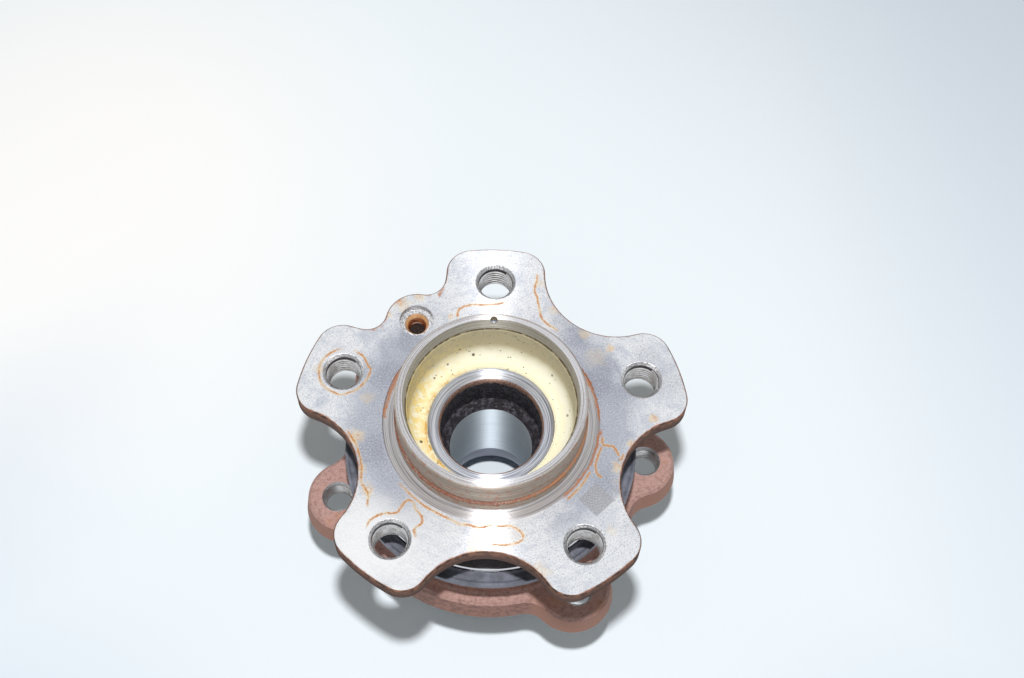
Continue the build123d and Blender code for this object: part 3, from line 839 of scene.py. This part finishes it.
@dataclass(frozen=True)
class TideFinish:
    """Wheel face under a thin line of dried rust; the line runs along the strip's own map."""

    name: str = "tide_mark_finish"
    face: FaceFinish = FaceFinish()
    core: Colour = tone(198, 130, 70)
    halo: Colour = tone(236, 208, 158)

    def material(self) -> bpy.types.Material:
        """Build the finish.

        Returns:
            The material.
        """
        g = Graph(self.name)
        g.comb()
        self.face.lay(g)
        flow = g.nodes.new("ShaderNodeUVMap")
        flow.uv_map = "flow"
        split = g.nodes.new("ShaderNodeSeparateXYZ")
        g.links.new(flow.outputs[0], split.inputs[0])
        along, across = split.outputs[0], split.outputs[1]
        fine, coarse, speckle = g.noise(1.1, 3.0, 0.65), g.noise(0.3, 3.0), g.noise(2.6, 2.0, 0.6)
        sway = g.add(g.times(g.less(fine, 0.5), 0.55), g.times(g.less(coarse, 0.5), 0.35))
        away = g.math("ABSOLUTE", g.add(g.less(across, 0.5), sway))
        ends = g.times(g.step(along, 0.0, 0.08), g.step(along, 1.0, 0.92))
        strong = g.add(0.26, g.times(g.step(coarse, 0.34, 0.56), 0.74))
        strong = g.most(strong, g.step(g.x, 30.0, 36.0, 0.95))
        reach = g.between(strong, 0.1, 0.26)
        halo = g.times(g.times(g.step(away, 0.42, 0.04, 0.85), ends), g.step(speckle, 0.24, 0.6))
        core = g.times(g.times(g.step(away, reach, 0.02), ends), strong)
        core = g.times(core, g.step(speckle, 0.2, 0.52))
        g.coat(g.times(halo, g.step(away, 0.46, 0.36)), self.halo, 0.2, 0.5)
        g.coat(core, self.core, 0.0, 0.6)
        g.bump(fine, 0.01)
        return g.finish(Anisotropic=1.0, Anisotropic_Rotation=0.25)


@dataclass(frozen=True)
class RustFinish:
    """Forged outer ring with light red rust and bright machined threads."""

    red: Colour = tone(196, 156, 148)
    deep: Colour = tone(132, 92, 82)
    orange: Colour = tone(206, 146, 110)
    pale: Colour = tone(222, 196, 188)
    # painted shade: darker tones for the ring's upright faces, which the flash lights at a grazing angle
    wall: Colour = tone(158, 112, 96)
    wall_deep_shade: Colour = tone(112, 78, 68)
    # sizes of the ring that bound its finishes, in millimetres
    ear_side_r: float = 55.5
    ear_top_z: float = -41.0
    hole_rim: float = 6.0
    pilot_r: float = 45.3
    knuckle_z: float = -50.0

    def material(self) -> bpy.types.Material:
        """Build the finish.

        Returns:
            The material.
        """
        g = Graph("forged_rust_finish")
        broad, coarse, fine = g.noise(0.1, 3.0), g.noise(0.6, 5.0, 0.7), g.noise(2.6, 4.0, 0.7)
        colour = g.mix(g.step(coarse, 0.42, 0.72, 0.75), self.red, self.deep)
        colour = g.mix(g.step(fine, 0.5, 0.68, 0.65), colour, self.pale)
        colour = g.mix(g.step(fine, 0.46, 0.34, 0.5), colour, self.deep)
        colour = g.mix(g.step(broad, 0.48, 0.7, 0.45), colour, self.orange)
        g.coat(1.0, colour, 0.0, g.between(fine, 0.6, 0.85))
        # painted shade on every upright face of the ring
        upright = g.step(g.upward, 0.9, 0.45, 0.85)
        g.coat(upright, g.mix(g.step(coarse, 0.4, 0.66), self.wall, self.wall_deep_shade), 0.0, 0.75)
        side = g.times(g.step(g.r, self.ear_side_r, self.ear_side_r + 1.0),
                       g.step(g.z, self.ear_top_z, self.ear_top_z - 1.0))
        g.coat(g.times(side, g.step(coarse, 0.42, 0.62, 0.4)), self.orange, 0.0, 0.7)
        hole: Socket | float = 0.0
        for spot in RING.ear_holes():
            hole = g.most(hole, g.step(g.off_axis(*spot), self.hole_rim, self.hole_rim - 0.15))
        g.coat(hole, g.mix(fine, CUT_STEEL, CUT_STEEL_SHADE), 0.9, 0.34)
        pilot = g.times(g.step(g.r, self.pilot_r + 0.1, self.pilot_r),
                        g.step(g.z, self.knuckle_z + 1.0, self.knuckle_z + 0.1))
        machined = g.most(pilot, g.step(g.z, self.knuckle_z + 0.05, self.knuckle_z + 0.02))
        g.coat(machined, g.mix(coarse, CUT_STEEL, CUT_STEEL_SHADE), 1.0, 0.36)
        g.bump(g.add(g.times(coarse, 0.5), g.times(fine, 0.5)), 0.4)
        return g.finish()


@dataclass(frozen=True)
class SheetFinish:
    """Bright pressed stainless sheet."""

    bright: Colour = tone(230, 231, 235)
    smear: Colour = tone(172, 172, 178)

    def material(self) -> bpy.types.Material:
        """Build the finish.

        Returns:
            The material.
        """
        g = Graph("stainless_finish")
        g.comb()
        rings = g.turned(5.0, 2.0)
        colour = g.mix(g.step(rings, 0.45, 0.8), self.bright, self.smear)
        g.coat(1.0, colour, 1.0, g.between(rings, 0.16, 0.3))
        g.bump(rings, 0.02)
        return g.finish(Anisotropic=0.6, Anisotropic_Rotation=0.25)


@dataclass(frozen=True)
class RubberFinish:
    """Moulded seal rubber with a dusty film."""

    name: str = "seal_rubber_finish"
    body: Colour = tone(84, 86, 97)
    dust: Colour = tone(134, 137, 151)

    def material(self) -> bpy.types.Material:
        """Build the finish.

        Returns:
            The material.
        """
        g = Graph(self.name)
        dust, rings = g.noise(0.2, 5.0, 0.6), g.turned(3.0, 1.5)
        colour = g.mix(g.step(dust, 0.3, 0.75), self.body, self.dust)
        colour = g.mix(g.step(rings, 0.5, 0.8, 0.4), colour, self.dust)
        g.coat(1.0, colour, 0.0, g.between(dust, 0.42, 0.6))
        g.bump(g.noise(4.0, 2.0), 0.03)
        return g.finish()


@dataclass(frozen=True)
class GroundSteelFinish:
    """Ground or lapped bearing steel."""

    name: str
    bright: Colour
    shade: Colour
    rough: float

    def material(self) -> bpy.types.Material:
        """Build the finish.

        Returns:
            The material.
        """
        g = Graph(self.name)
        marks, film = g.turned(9.0, 2.0), g.noise(0.2, 4.0)
        g.coat(1.0, g.mix(g.times(marks, 0.6), self.bright, self.shade), 1.0,
               g.between(film, self.rough, self.rough + 0.1))
        g.bump(marks, 0.008)
        return g.finish()


@dataclass(frozen=True)
class CageFinish:
    """Natural glass-filled nylon, slightly waxy."""

    body: Colour = tone(222, 208, 170)
    fibre: Colour = tone(196, 180, 138)

    def material(self) -> bpy.types.Material:
        """Build the finish.

        Returns:
            The material.
        """
        g = Graph("cage_nylon_finish")
        fibres = g.turned(1.6, 6.0, 3.0)
        g.coat(1.0, g.mix(fibres, self.body, self.fibre), 0.0, g.between(fibres, 0.35, 0.5))
        g.bump(g.noise(3.0, 2.0), 0.03)
        return g.finish()


@dataclass(frozen=True)
class ThreadFinish:
    """Cut thread, bright on the crests and dirty in places."""

    name: str
    crest: Colour = tone(214, 214, 214)
    dirt: Colour = tone(142, 132, 122)
    dirty: float = 0.5

    def material(self) -> bpy.types.Material:
        """Build the finish.

        Returns:
            The material.
        """
        g = Graph(self.name)
        patch, fine = g.noise(0.35, 3.0, 0.6), g.noise(2.0, 3.0)
        soiled = g.times(g.step(g.add(g.times(patch, 0.7), g.times(fine, 0.3)), 0.4, 0.62), self.dirty)
        g.coat(1.0, g.mix(soiled, self.crest, self.dirt), g.less(1.0, g.times(soiled, 0.8)), 0.3)
        g.bump(fine, 0.03)
        return g.finish()


@dataclass(frozen=True)
class WaxFinish:
    """Thick amber wax."""

    gold: Colour = tone(248, 242, 214)
    amber: Colour = tone(224, 176, 88)
    dirt: Colour = tone(116, 84, 44)

    def material(self) -> bpy.types.Material:
        """Build the finish.

        Returns:
            The material.
        """
        g = Graph("wax_bead_finish")
        coarse, fine = g.noise(0.4, 4.0, 0.6), g.noise(1.8, 3.0)
        left = g.step(g.x, 0.0, -20.0)
        colour = g.mix(g.times(left, g.step(coarse, 0.35, 0.6)), self.gold, self.amber)
        colour = g.mix(g.step(fine, 0.62, 0.74, 0.7), colour, self.dirt)
        g.coat(1.0, colour, 0.0, 0.24)
        g.bump(fine, 0.08)
        return g.finish(Subsurface_Weight=0.15, Subsurface_Scale=0.001)


def add_object(name: str, data: bpy.types.ID) -> bpy.types.Object:
    """Put new data into the scene as an object.

    Args:
        name: Name of the object.
        data: Its mesh, camera or lamp.

    Returns:
        The object.
    """
    made = bpy.data.objects.new(name, data)
    bpy.context.scene.collection.objects.link(made)
    return made


def set_down(bm: bmesh.types.BMesh, name: str, finish: bpy.types.Material,
             body: Body, smooth: bool = True) -> None:
    """Turn a bmesh into a piece of the part.

    Args:
        bm: The mesh, in metres in the part's frame; it is freed.
        name: Name of the piece.
        finish: Its material.
        body: Body that it rides on.
        smooth: Shade its faces smooth.
    """
    for face in bm.faces:
        face.smooth = smooth
    mesh = bpy.data.meshes.new(name)
    bm.to_mesh(mesh)
    bm.free()
    mesh.materials.append(finish)
    piece = add_object(name, mesh)
    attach(piece, body.value)
    log.info("%s: %d faces on %s", name, len(mesh.polygons), body.value)


@dataclass(frozen=True)
class Thread:
    """Right-hand thread standing in a plain tapped hole, in millimetres."""

    radius: float
    pitch: float
    depth: float
    top: float
    bottom: float
    crest: float = 0.16
    root: float = 0.6
    bury: float = 0.03
    steps: int = 36

    def build(self, x: float, y: float) -> bmesh.types.BMesh:
        """Wind the thread about a hole's axis.

        Args:
            x: The axis's place.
            y: The axis's place.

        Returns:
            The mesh.
        """
        bm = bmesh.new()
        half_root, half_crest = self.root * self.pitch / 2, self.crest * self.pitch / 2
        section = ((self.bury, -half_root), (-self.depth, -half_crest),
                   (-self.depth, half_crest), (self.bury, half_root))
        low = self.bottom + half_root
        verts = [bm.verts.new(MM * Vector((x + self.radius + out, y, low + up))) for out, up in section]
        edges = [bm.edges.new((a, b)) for a, b in zip(verts, verts[1:] + verts[:1])]
        turns = (self.top - half_root - low) / self.pitch
        count = round(turns * self.steps)
        bmesh.ops.spin(bm, geom=verts + edges, cent=MM * Vector((x, y, 0.0)), axis=(0.0, 0.0, 1.0),
                       dvec=(0.0, 0.0, MM * self.pitch / self.steps),
                       angle=math.tau * count / self.steps, steps=count)
        bmesh.ops.holes_fill(bm, edges=[e for e in bm.edges if e.is_boundary])
        bmesh.ops.recalc_face_normals(bm, faces=bm.faces)
        return bm


Route = tuple[tuple[float, float], ...]


@dataclass(frozen=True)
class TideMarks:
    """Lines of dried rust that water left on the wheel face, as strips just over it, in millimetres.

    The strips keep off the groove, the bolt holes and the scallops. A rung lies climb over the one before
    it, and pieces is how many rungs a strip has between two points of its route.
    """

    width: float = 2.2
    lift: float = 0.02
    climb: float = 0.0003
    keep_out: float = 38.45
    scallop_room: float = 25.8
    bolt_room: float = 7.6
    pieces: int = 6
    routes: tuple[Route, ...] = (
        ((-51.0, 26.0), (-47.0, 24.0), (-44.6, 20.0), (-43.6, 18.0), (-45.0, 14.0), (-47.5, 11.0),
         (-50.0, 9.2), (-54.0, 8.2), (-58.0, 10.0), (-61.0, 13.0), (-62.0, 18.0), (-60.8, 21.8),
         (-58.0, 25.0), (-53.5, 26.8)),
        ((-13.5, 40.5), (-13.5, 42.5), (-12.5, 44.6), (-9.0, 46.0), (-4.0, 46.2), (0.0, 46.5),
         (4.0, 47.6)),
        ((15.5, 60.5), (15.2, 57.0), (14.5, 53.0), (15.5, 50.0), (16.0, 47.0), (16.6, 43.6),
         (18.0, 40.2), (20.5, 38.0), (24.0, 35.5)),
        ((-52.0, -6.5), (-48.5, -8.4), (-46.4, -12.0), (-45.8, -18.0), (-45.2, -23.5), (-43.4, -26.0),
         (-41.4, -29.0), (-41.2, -34.5)),
        ((-41.2, -42.5), (-40.2, -39.2), (-37.5, -37.0), (-35.0, -36.2), (-31.3, -35.8), (-29.8, -34.0),
         (-28.5, -31.8), (-27.0, -31.1), (-25.6, -32.0), (-25.0, -34.0), (-23.6, -35.6), (-22.2, -37.5),
         (-22.5, -39.5), (-24.4, -41.0), (-25.0, -43.0), (-24.4, -45.4)),
        ((-31.0, -23.4), (-28.6, -26.4), (-26.0, -29.2), (-22.4, -32.0), (-18.8, -34.8), (-14.2, -37.0),
         (-10.0, -39.2), (-6.0, -39.6), (-3.0, -40.4), (0.0, -39.8), (4.0, -39.7), (7.0, -39.5),
         (10.0, -40.6), (12.0, -42.8), (11.0, -45.0), (8.0, -46.0), (5.0, -46.5), (2.0, -46.4),
         (0.0, -48.6)),
        ((38.6, -5.0), (39.4, -8.6), (42.6, -9.0), (44.5, -12.0), (46.0, -14.2), (47.4, -12.0)),
        ((38.9, -9.0), (37.4, -13.0), (36.6, -16.5), (37.2, -19.5), (39.0, -21.0)),
        ((34.6, -18.4), (32.6, -22.6), (29.6, -26.4), (26.6, -29.6)),
    )

    def clear(self, place: Vector) -> Vector:
        """Move a place off the groove, the scallops and the bolt holes.

        Args:
            place: Where a route runs.

        Returns:
            The nearest place with room for the strip.
        """
        margin = self.width / 2
        if place.length < self.keep_out + margin:
            place = place.normalized() * (self.keep_out + margin)
        for hole, hollow in zip(HUB.bolt_holes(), HUB.scallops()):
            for spot, room in ((hole, self.bolt_room), (hollow, self.scallop_room)):
                away = place - Vector(spot)
                if away.length < room + margin:
                    place = Vector(spot) + away.normalized() * (room + margin)
        return place

    def trace(self, route: Route) -> list[tuple[Vector, Vector]]:
        """Smooth a route.

        Args:
            route: Points on it.

        Returns:
            Each place on the smooth route with the way it runs there.
        """
        knots = [Vector(point) for point in route]
        end = len(knots) - 1
        slopes = [(knots[min(n + 1, end)] - knots[max(n - 1, 0)]) / 6 for n in range(len(knots))]
        places: list[Vector] = []
        for n in range(end):
            places += interpolate_bezier(knots[n], knots[n] + slopes[n], knots[n + 1] - slopes[n + 1],
                                         knots[n + 1], self.pieces + 1)[:-1]
        places = [self.clear(place) for place in (*places, knots[-1])]
        last = len(places) - 1
        return [(place, (places[min(n + 2, last)] - places[max(n - 2, 0)]).normalized())
                for n, place in enumerate(places)]

    def lay_rung(self, verts: Sequence[bmesh.types.BMVert], place: Vector, way: Vector,
                 lift: float) -> None:
        """Set one rung of a strip across its route.

        Args:
            verts: The rung's two ends.
            place: The route's place.
            way: The way it runs.
            lift: Height of the rung.
        """
        across = Vector((-way.y, way.x)) * self.width / 2
        for vert, spot in zip(verts, (place - across, place + across)):
            vert.co = MM * Vector((spot.x, spot.y, lift))

    def strip(self, route: Route, lift: float) -> bmesh.types.BMesh:
        """Draw one strip rung by rung, with a map that runs along and across it.

        Each rung lies a hair over the last, so that a tight bend never folds into one plane.

        Args:
            route: Points on its middle line.
            lift: Height of its first rung.

        Returns:
            The mesh.
        """
        bm = bmesh.new()
        flow = bm.loops.layers.uv.new("flow")
        stations = self.trace(route)
        rung = [bm.verts.new(), bm.verts.new()]
        edge = bm.edges.new(rung)
        self.lay_rung(rung, *stations[0], lift)
        share = {vert: (0.0, side) for side, vert in enumerate(rung)}
        for number, station in enumerate(stations[1:], 1):
            grown = bmesh.ops.extrude_edge_only(bm, edges=[edge])["geom"]
            fresh = [item for item in grown if isinstance(item, bmesh.types.BMVert)]
            rung = sorted(fresh, key=lambda vert: (vert.co - rung[0].co).length)
            edge = next(item for item in grown if isinstance(item, bmesh.types.BMEdge)
                        and set(item.verts) == set(rung))
            self.lay_rung(rung, *station, lift + self.climb * number)
            share.update({vert: (number / (len(stations) - 1), side) for side, vert in enumerate(rung)})
        bmesh.ops.recalc_face_normals(bm, faces=bm.faces)
        if sum(face.normal.z for face in bm.faces) < 0:
            bmesh.ops.reverse_faces(bm, faces=bm.faces)
        for face in bm.faces:
            for loop in face.loops:
                loop[flow].uv = share[loop.vert]
        return bm

    def build(self) -> None:
        """Lay every line on the hub."""
        finish = TideFinish().material()
        for number, route in enumerate(self.routes, 1):
            mark = self.strip(route, self.lift * (1 + number / len(self.routes)))
            set_down(mark, f"tide_mark_{number}", finish, Body.HUB)


@dataclass(frozen=True)
class WaxBead:
    """Lumpy bead of wax where the bowl's floor meets the machined seat, in millimetres.

    The swell is least on the +X side, and from start, a share of the radius, it grows towards -X.
    """

    radius: float = 23.1
    height: float = -4.42
    thin: float = 0.16
    thick: float = 0.62
    around: int = 220
    corners: int = 8
    lumps: float = 0.35
    ripple: float = 0.25
    ripple_lumps: float = 1.75
    least: float = 0.35
    start: float = 0.35

    def build(self) -> None:
        """Spin the bead and swell it unevenly, most on the -X side."""
        bm = bmesh.new()
        place = Matrix.Translation((MM * self.radius, 0.0, MM * self.height))
        upright = Matrix.Rotation(math.pi / 2, 4, "X")
        bmesh.ops.create_circle(bm, segments=self.corners, radius=MM, matrix=place @ upright)
        bmesh.ops.spin(bm, geom=bm.verts[:] + bm.edges[:], cent=(0.0, 0.0, 0.0), axis=(0.0, 0.0, 1.0),
                       angle=math.tau, steps=self.around, use_merge=True)
        for vert in bm.verts:
            out = Vector((vert.co.x, vert.co.y, 0.0)).normalized()
            middle = MM * (self.radius * out + Vector((0.0, 0.0, self.height)))
            lump = 0.5 + 0.5 * noise.noise(vert.co / MM * self.lumps)
            ripple = self.ripple * noise.noise(vert.co / MM * self.ripple_lumps)
            side = self.least + (1 - self.least) * max(0.0, self.start - out.x) / (1 + self.start)
            size = self.thin + (self.thick - self.thin) * side * min(1.0, max(0.0, lump + ripple))
            vert.co = middle + (vert.co - middle) * size
        bmesh.ops.recalc_face_normals(bm, faces=bm.faces)
        set_down(bm, "wax_bead", WaxFinish().material(), Body.HUB)


@dataclass(frozen=True)
class ScaleFinish:
    """Dark flaking rust; its near-black is partly painted shade at the bottom of the hole."""

    near_black_and_shade: Colour = tone(22, 15, 13)
    rust: Colour = tone(62, 38, 28)

    def material(self) -> bpy.types.Material:
        """Build the finish.

        Returns:
            The material.
        """
        g = Graph("rust_scale_finish")
        flakes = g.noise(1.4, 4.0, 0.65)
        # near-black flakes, partly dark rust and partly painted shade at the bottom of the hole
        g.coat(1.0, g.mix(g.step(flakes, 0.42, 0.66), self.near_black_and_shade, self.rust), 0.0, 0.8)
        g.bump(flakes, 0.3)
        return g.finish()


@dataclass(frozen=True)
class RustScale:
    """Cake of rust that closes the lower end of the disc-screw hole, in millimetres."""

    radius: float = 3.42
    top: float = -8.5
    thick: float = 0.45
    segments: int = 40
    rings: int = 6
    dish: float = 0.3
    rough: float = 0.12
    grit: float = 1.3

    def build(self, x: float, y: float) -> None:
        """Press the cake into the hole.

        Args:
            x: The hole's place.
            y: The hole's place.
        """
        bm = bmesh.new()
        place = Matrix.Translation(MM * Vector((x, y, self.top - self.thick)))
        bmesh.ops.create_circle(bm, cap_ends=True, segments=self.segments, radius=MM * self.radius,
                                matrix=place)
        floor = bm.faces[:]
        grown = bmesh.ops.extrude_face_region(bm, geom=floor, use_keep_orig=True)["geom"]
        bmesh.ops.translate(bm, verts=[item for item in grown if isinstance(item, bmesh.types.BMVert)],
                            vec=(0.0, 0.0, MM * self.thick))
        lid = [item for item in grown if isinstance(item, bmesh.types.BMFace)]
        for _ in range(self.rings):
            bmesh.ops.inset_region(bm, faces=lid, thickness=MM * self.radius / (self.rings + 1),
                                   depth=-MM * self.dish / self.rings)
        for vert in bm.verts:
            if vert.co.z > MM * (self.top - self.thick / 2) - MM * self.dish:
                vert.co.z += MM * self.rough * noise.noise(vert.co / MM * self.grit)
        bmesh.ops.recalc_face_normals(bm, faces=bm.faces)
        set_down(bm, "screw_hole_scale", ScaleFinish().material(), Body.HUB)


@dataclass
class HubDressing:
    """What the hub carries besides its solids: threads, wax and tide marks."""

    bolt_thread: Thread = Thread(radius=6.2, pitch=1.5, depth=0.42, top=-1.5, bottom=-11.6)
    screw_thread: Thread = Thread(radius=3.4, pitch=1.25, depth=0.3, top=-4.3, bottom=-9.0)
    marks: TideMarks = TideMarks()
    bead: WaxBead = WaxBead()
    scale: RustScale = RustScale()

    def build_threads(self) -> None:
        """Threads of the wheel-bolt and disc-screw holes."""
        bright = ThreadFinish("bolt_thread_finish").material()
        for number, spot in enumerate(HUB.bolt_holes(), 1):
            thread = self.bolt_thread.build(*spot)
            set_down(thread, f"bolt_thread_{number}", bright, Body.HUB, smooth=False)
        rusty = ThreadFinish("screw_thread_finish", tone(176, 104, 60), tone(92, 52, 34), 1.0).material()
        thread = self.screw_thread.build(*HUB.screw)
        set_down(thread, "disc_screw_thread", rusty, Body.HUB, smooth=False)

    def build(self) -> None:
        """Make everything."""
        self.build_threads()
        self.marks.build()
        self.bead.build()
        self.scale.build(*HUB.screw)


@dataclass
class RingDressing:
    """Threads of the knuckle bolts in the ears of the outer ring."""

    thread: Thread = Thread(radius=5.2, pitch=1.5, depth=0.36, top=-40.9, bottom=-49.1)

    def build(self) -> None:
        """Wind one thread in each ear."""
        finish = ThreadFinish("ear_thread_finish").material()
        for number, spot in enumerate(RING.ear_holes(), 1):
            thread = self.thread.build(*spot)
            set_down(thread, f"ear_thread_{number}", finish, Body.OUTER, smooth=False)


@dataclass(frozen=True)
class Studio:
    """Pale floor, a close small flash above the camera, and even fill.

    The floor, the camera and the flash's size are in metres. The flash's offset from the camera and the
    places of the floor's tones are in millimetres, and angles in degrees.
    """

    floor_z: float = -0.080
    floor_size: float = 16.0
    camera: tuple[float, float, float] = (0.003797, -0.214622, 0.460213)
    azimuth: float = -0.648
    elevation: float = 61.782
    roll: float = 2.166
    lens: float = 50.727
    flash: tuple[float, float, float] = (3.0, 156.0, 82.0)
    flash_size: float = 0.019
    flash_power: float = 0.75
    fill: float = 0.30
    # places of the floor's painted glow and painted shade
    far: tuple[float, float] = (160.0, 620.0)
    near_spot: tuple[float, float] = (-190.0, 150.0)
    near_r: tuple[float, float] = (200.0, 30.0)
    fill_tint: Colour = (1.0, 0.985, 0.94, 1.0)
    room: float = 0.85
    room_tint: Colour = (0.95, 0.97, 1.0, 1.0)
    paper: Colour = tone(241, 249, 255)
    # painted light: a glow on the floor, and shade towards its far corner and sides
    paper_painted_glow: Colour = tone(255, 255, 255)
    paper_side_painted_shade: Colour = tone(216, 226, 240)
    paper_far_painted_shade: Colour = tone(206, 215, 226)

    def axes(self) -> tuple[Vector, Vector, Vector]:
        """Right, up and back directions of the camera.

        Returns:
            Three unit vectors.
        """
        az, el, roll = (math.radians(a) for a in (self.azimuth, self.elevation, self.roll))
        back = Vector((math.sin(az) * math.cos(el), -math.cos(az) * math.cos(el), math.sin(el)))
        right = Vector((math.cos(az), math.sin(az), 0.0))
        up = back.cross(right)
        return (math.cos(roll) * right + math.sin(roll) * up,
                math.cos(roll) * up - math.sin(roll) * right, back)

    def build_camera(self) -> None:
        """Camera at its place."""
        right, up, back = self.axes()
        data = bpy.data.cameras.new("camera")
        data.lens = self.lens
        data.clip_start = 0.01
        camera = add_object("camera", data)
        turn = Matrix((right, up, back)).transposed().to_4x4()
        camera.matrix_world = Matrix.Translation(self.camera) @ turn
        bpy.context.scene.camera = camera

    def build_flash(self) -> None:
        """Small lamp over the camera, as bright on everything that it reaches."""
        right, up, back = self.axes()
        across, above, behind = (MM * d for d in self.flash)
        place = Vector(self.camera) + across * right + above * up + behind * back
        data = bpy.data.lights.new("flash", "POINT")
        data.shadow_soft_size = self.flash_size
        data.use_nodes = True
        nodes, links = data.node_tree.nodes, data.node_tree.links
        falloff = nodes.new("ShaderNodeLightFalloff")
        falloff.inputs["Strength"].default_value = self.flash_power
        links.new(falloff.outputs["Constant"], nodes["Emission"].inputs["Strength"])
        # takes out the lamp's own factor, so that the falloff's strength alone sets the light
        data.energy = 4 * math.pi * math.pi
        add_object("flash", data).location = place

    def build_world(self) -> None:
        """Even fill, and the pale room that the camera and shiny metal see."""
        world = bpy.data.worlds.new("room")
        bpy.context.scene.world = world
        world.use_nodes = True
        nodes, links = world.node_tree.nodes, world.node_tree.links
        plain = nodes["Background"]
        plain.inputs["Color"].default_value = self.fill_tint
        plain.inputs["Strength"].default_value = self.fill
        seen = nodes.new("ShaderNodeBackground")
        seen.inputs["Color"].default_value = self.room_tint
        seen.inputs["Strength"].default_value = self.room
        path, either = nodes.new("ShaderNodeLightPath"), nodes.new("ShaderNodeMath")
        either.operation = "MAXIMUM"
        links.new(path.outputs["Is Camera Ray"], either.inputs[0])
        links.new(path.outputs["Is Glossy Ray"], either.inputs[1])
        choice = nodes.new("ShaderNodeMixShader")
        links.new(either.outputs[0], choice.inputs[0])
        links.new(plain.outputs[0], choice.inputs[1])
        links.new(seen.outputs[0], choice.inputs[2])
        links.new(choice.outputs[0], nodes["World Output"].inputs["Surface"])

    def build_floor(self) -> None:
        """Pale floor that the part stands on, with a painted glow to one side and painted shade towards
        the far corner and the sides.
        """
        bm = bmesh.new()
        bmesh.ops.create_grid(bm, x_segments=1, y_segments=1, size=self.floor_size / 2,
                              matrix=Matrix.Translation((0.0, 0.0, self.floor_z)))
        mesh = bpy.data.meshes.new("floor")
        bm.to_mesh(mesh)
        bm.free()
        floor = add_object("floor", mesh)
        g = Graph("pale_floor")
        # painted light: the flash's falloff as a glow and as shade on the floor
        far = g.step(g.add(g.x, g.y), *self.far)
        near = g.step(g.off_axis(*self.near_spot), *self.near_r)
        paper = g.mix(near, self.paper, self.paper_painted_glow)
        wide = g.math("ABSOLUTE", g.x)
        corner = g.times(g.step(wide, 40.0, 190.0), g.step(g.y, 0.0, -150.0))
        side = g.times(g.step(wide, 110.0, 240.0, 0.5), g.step(g.less(g.y, g.x), 300.0, 200.0))
        paper = g.mix(g.most(side, corner), paper, self.paper_side_painted_shade)
        g.coat(1.0, g.mix(far, paper, self.paper_far_painted_shade), 0.0, 1.0)
        mesh.materials.append(g.finish(Specular_IOR_Level=0.0))

    def build(self) -> None:
        """Set up the whole studio."""
        bpy.context.scene.view_settings.view_transform = "Standard"
        self.build_camera()
        self.build_flash()
        self.build_world()
        self.build_floor()


def dress(frame: dict) -> None:
    """Give every CAD node the finish of its material slot.

    Args:
        frame: The loaded frame.
    """
    finishes = {
        Slot.HUB: HubFinish(),
        Slot.FORGING: RustFinish(),
        Slot.BEARING: GroundSteelFinish(
            "bearing_steel_finish", tone(214, 216, 224), tone(150, 152, 160), 0.18),
        Slot.BALL: GroundSteelFinish(
            "ball_steel_finish", tone(232, 233, 238), tone(196, 198, 206), 0.06),
        Slot.SHEET: SheetFinish(),
        Slot.RUBBER: RubberFinish(),
        Slot.MAGNET: RubberFinish("magnet_rubber_finish", tone(40, 36, 34), tone(70, 62, 58)),
        Slot.CAGE: CageFinish(),
    }
    made = {slot.value: finish.material() for slot, finish in finishes.items()}
    for part in frame["record"]["subparts"]:
        mesh = frame["nodes"][part["node"]].data
        mesh.materials.clear()
        mesh.materials.append(made[part["material_slot"]])
        log.info("dressed %s as %s", part["node"], part["material_slot"])


def main() -> None:
    """Dress the bearing and set up the studio."""
    logging.basicConfig(level=logging.INFO, format="%(message)s")
    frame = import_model()
    dress(frame)
    for sub_assembly in (HubDressing(), RingDressing()):
        sub_assembly.build()
    Studio().build()


if __name__ == "__main__":
    main()
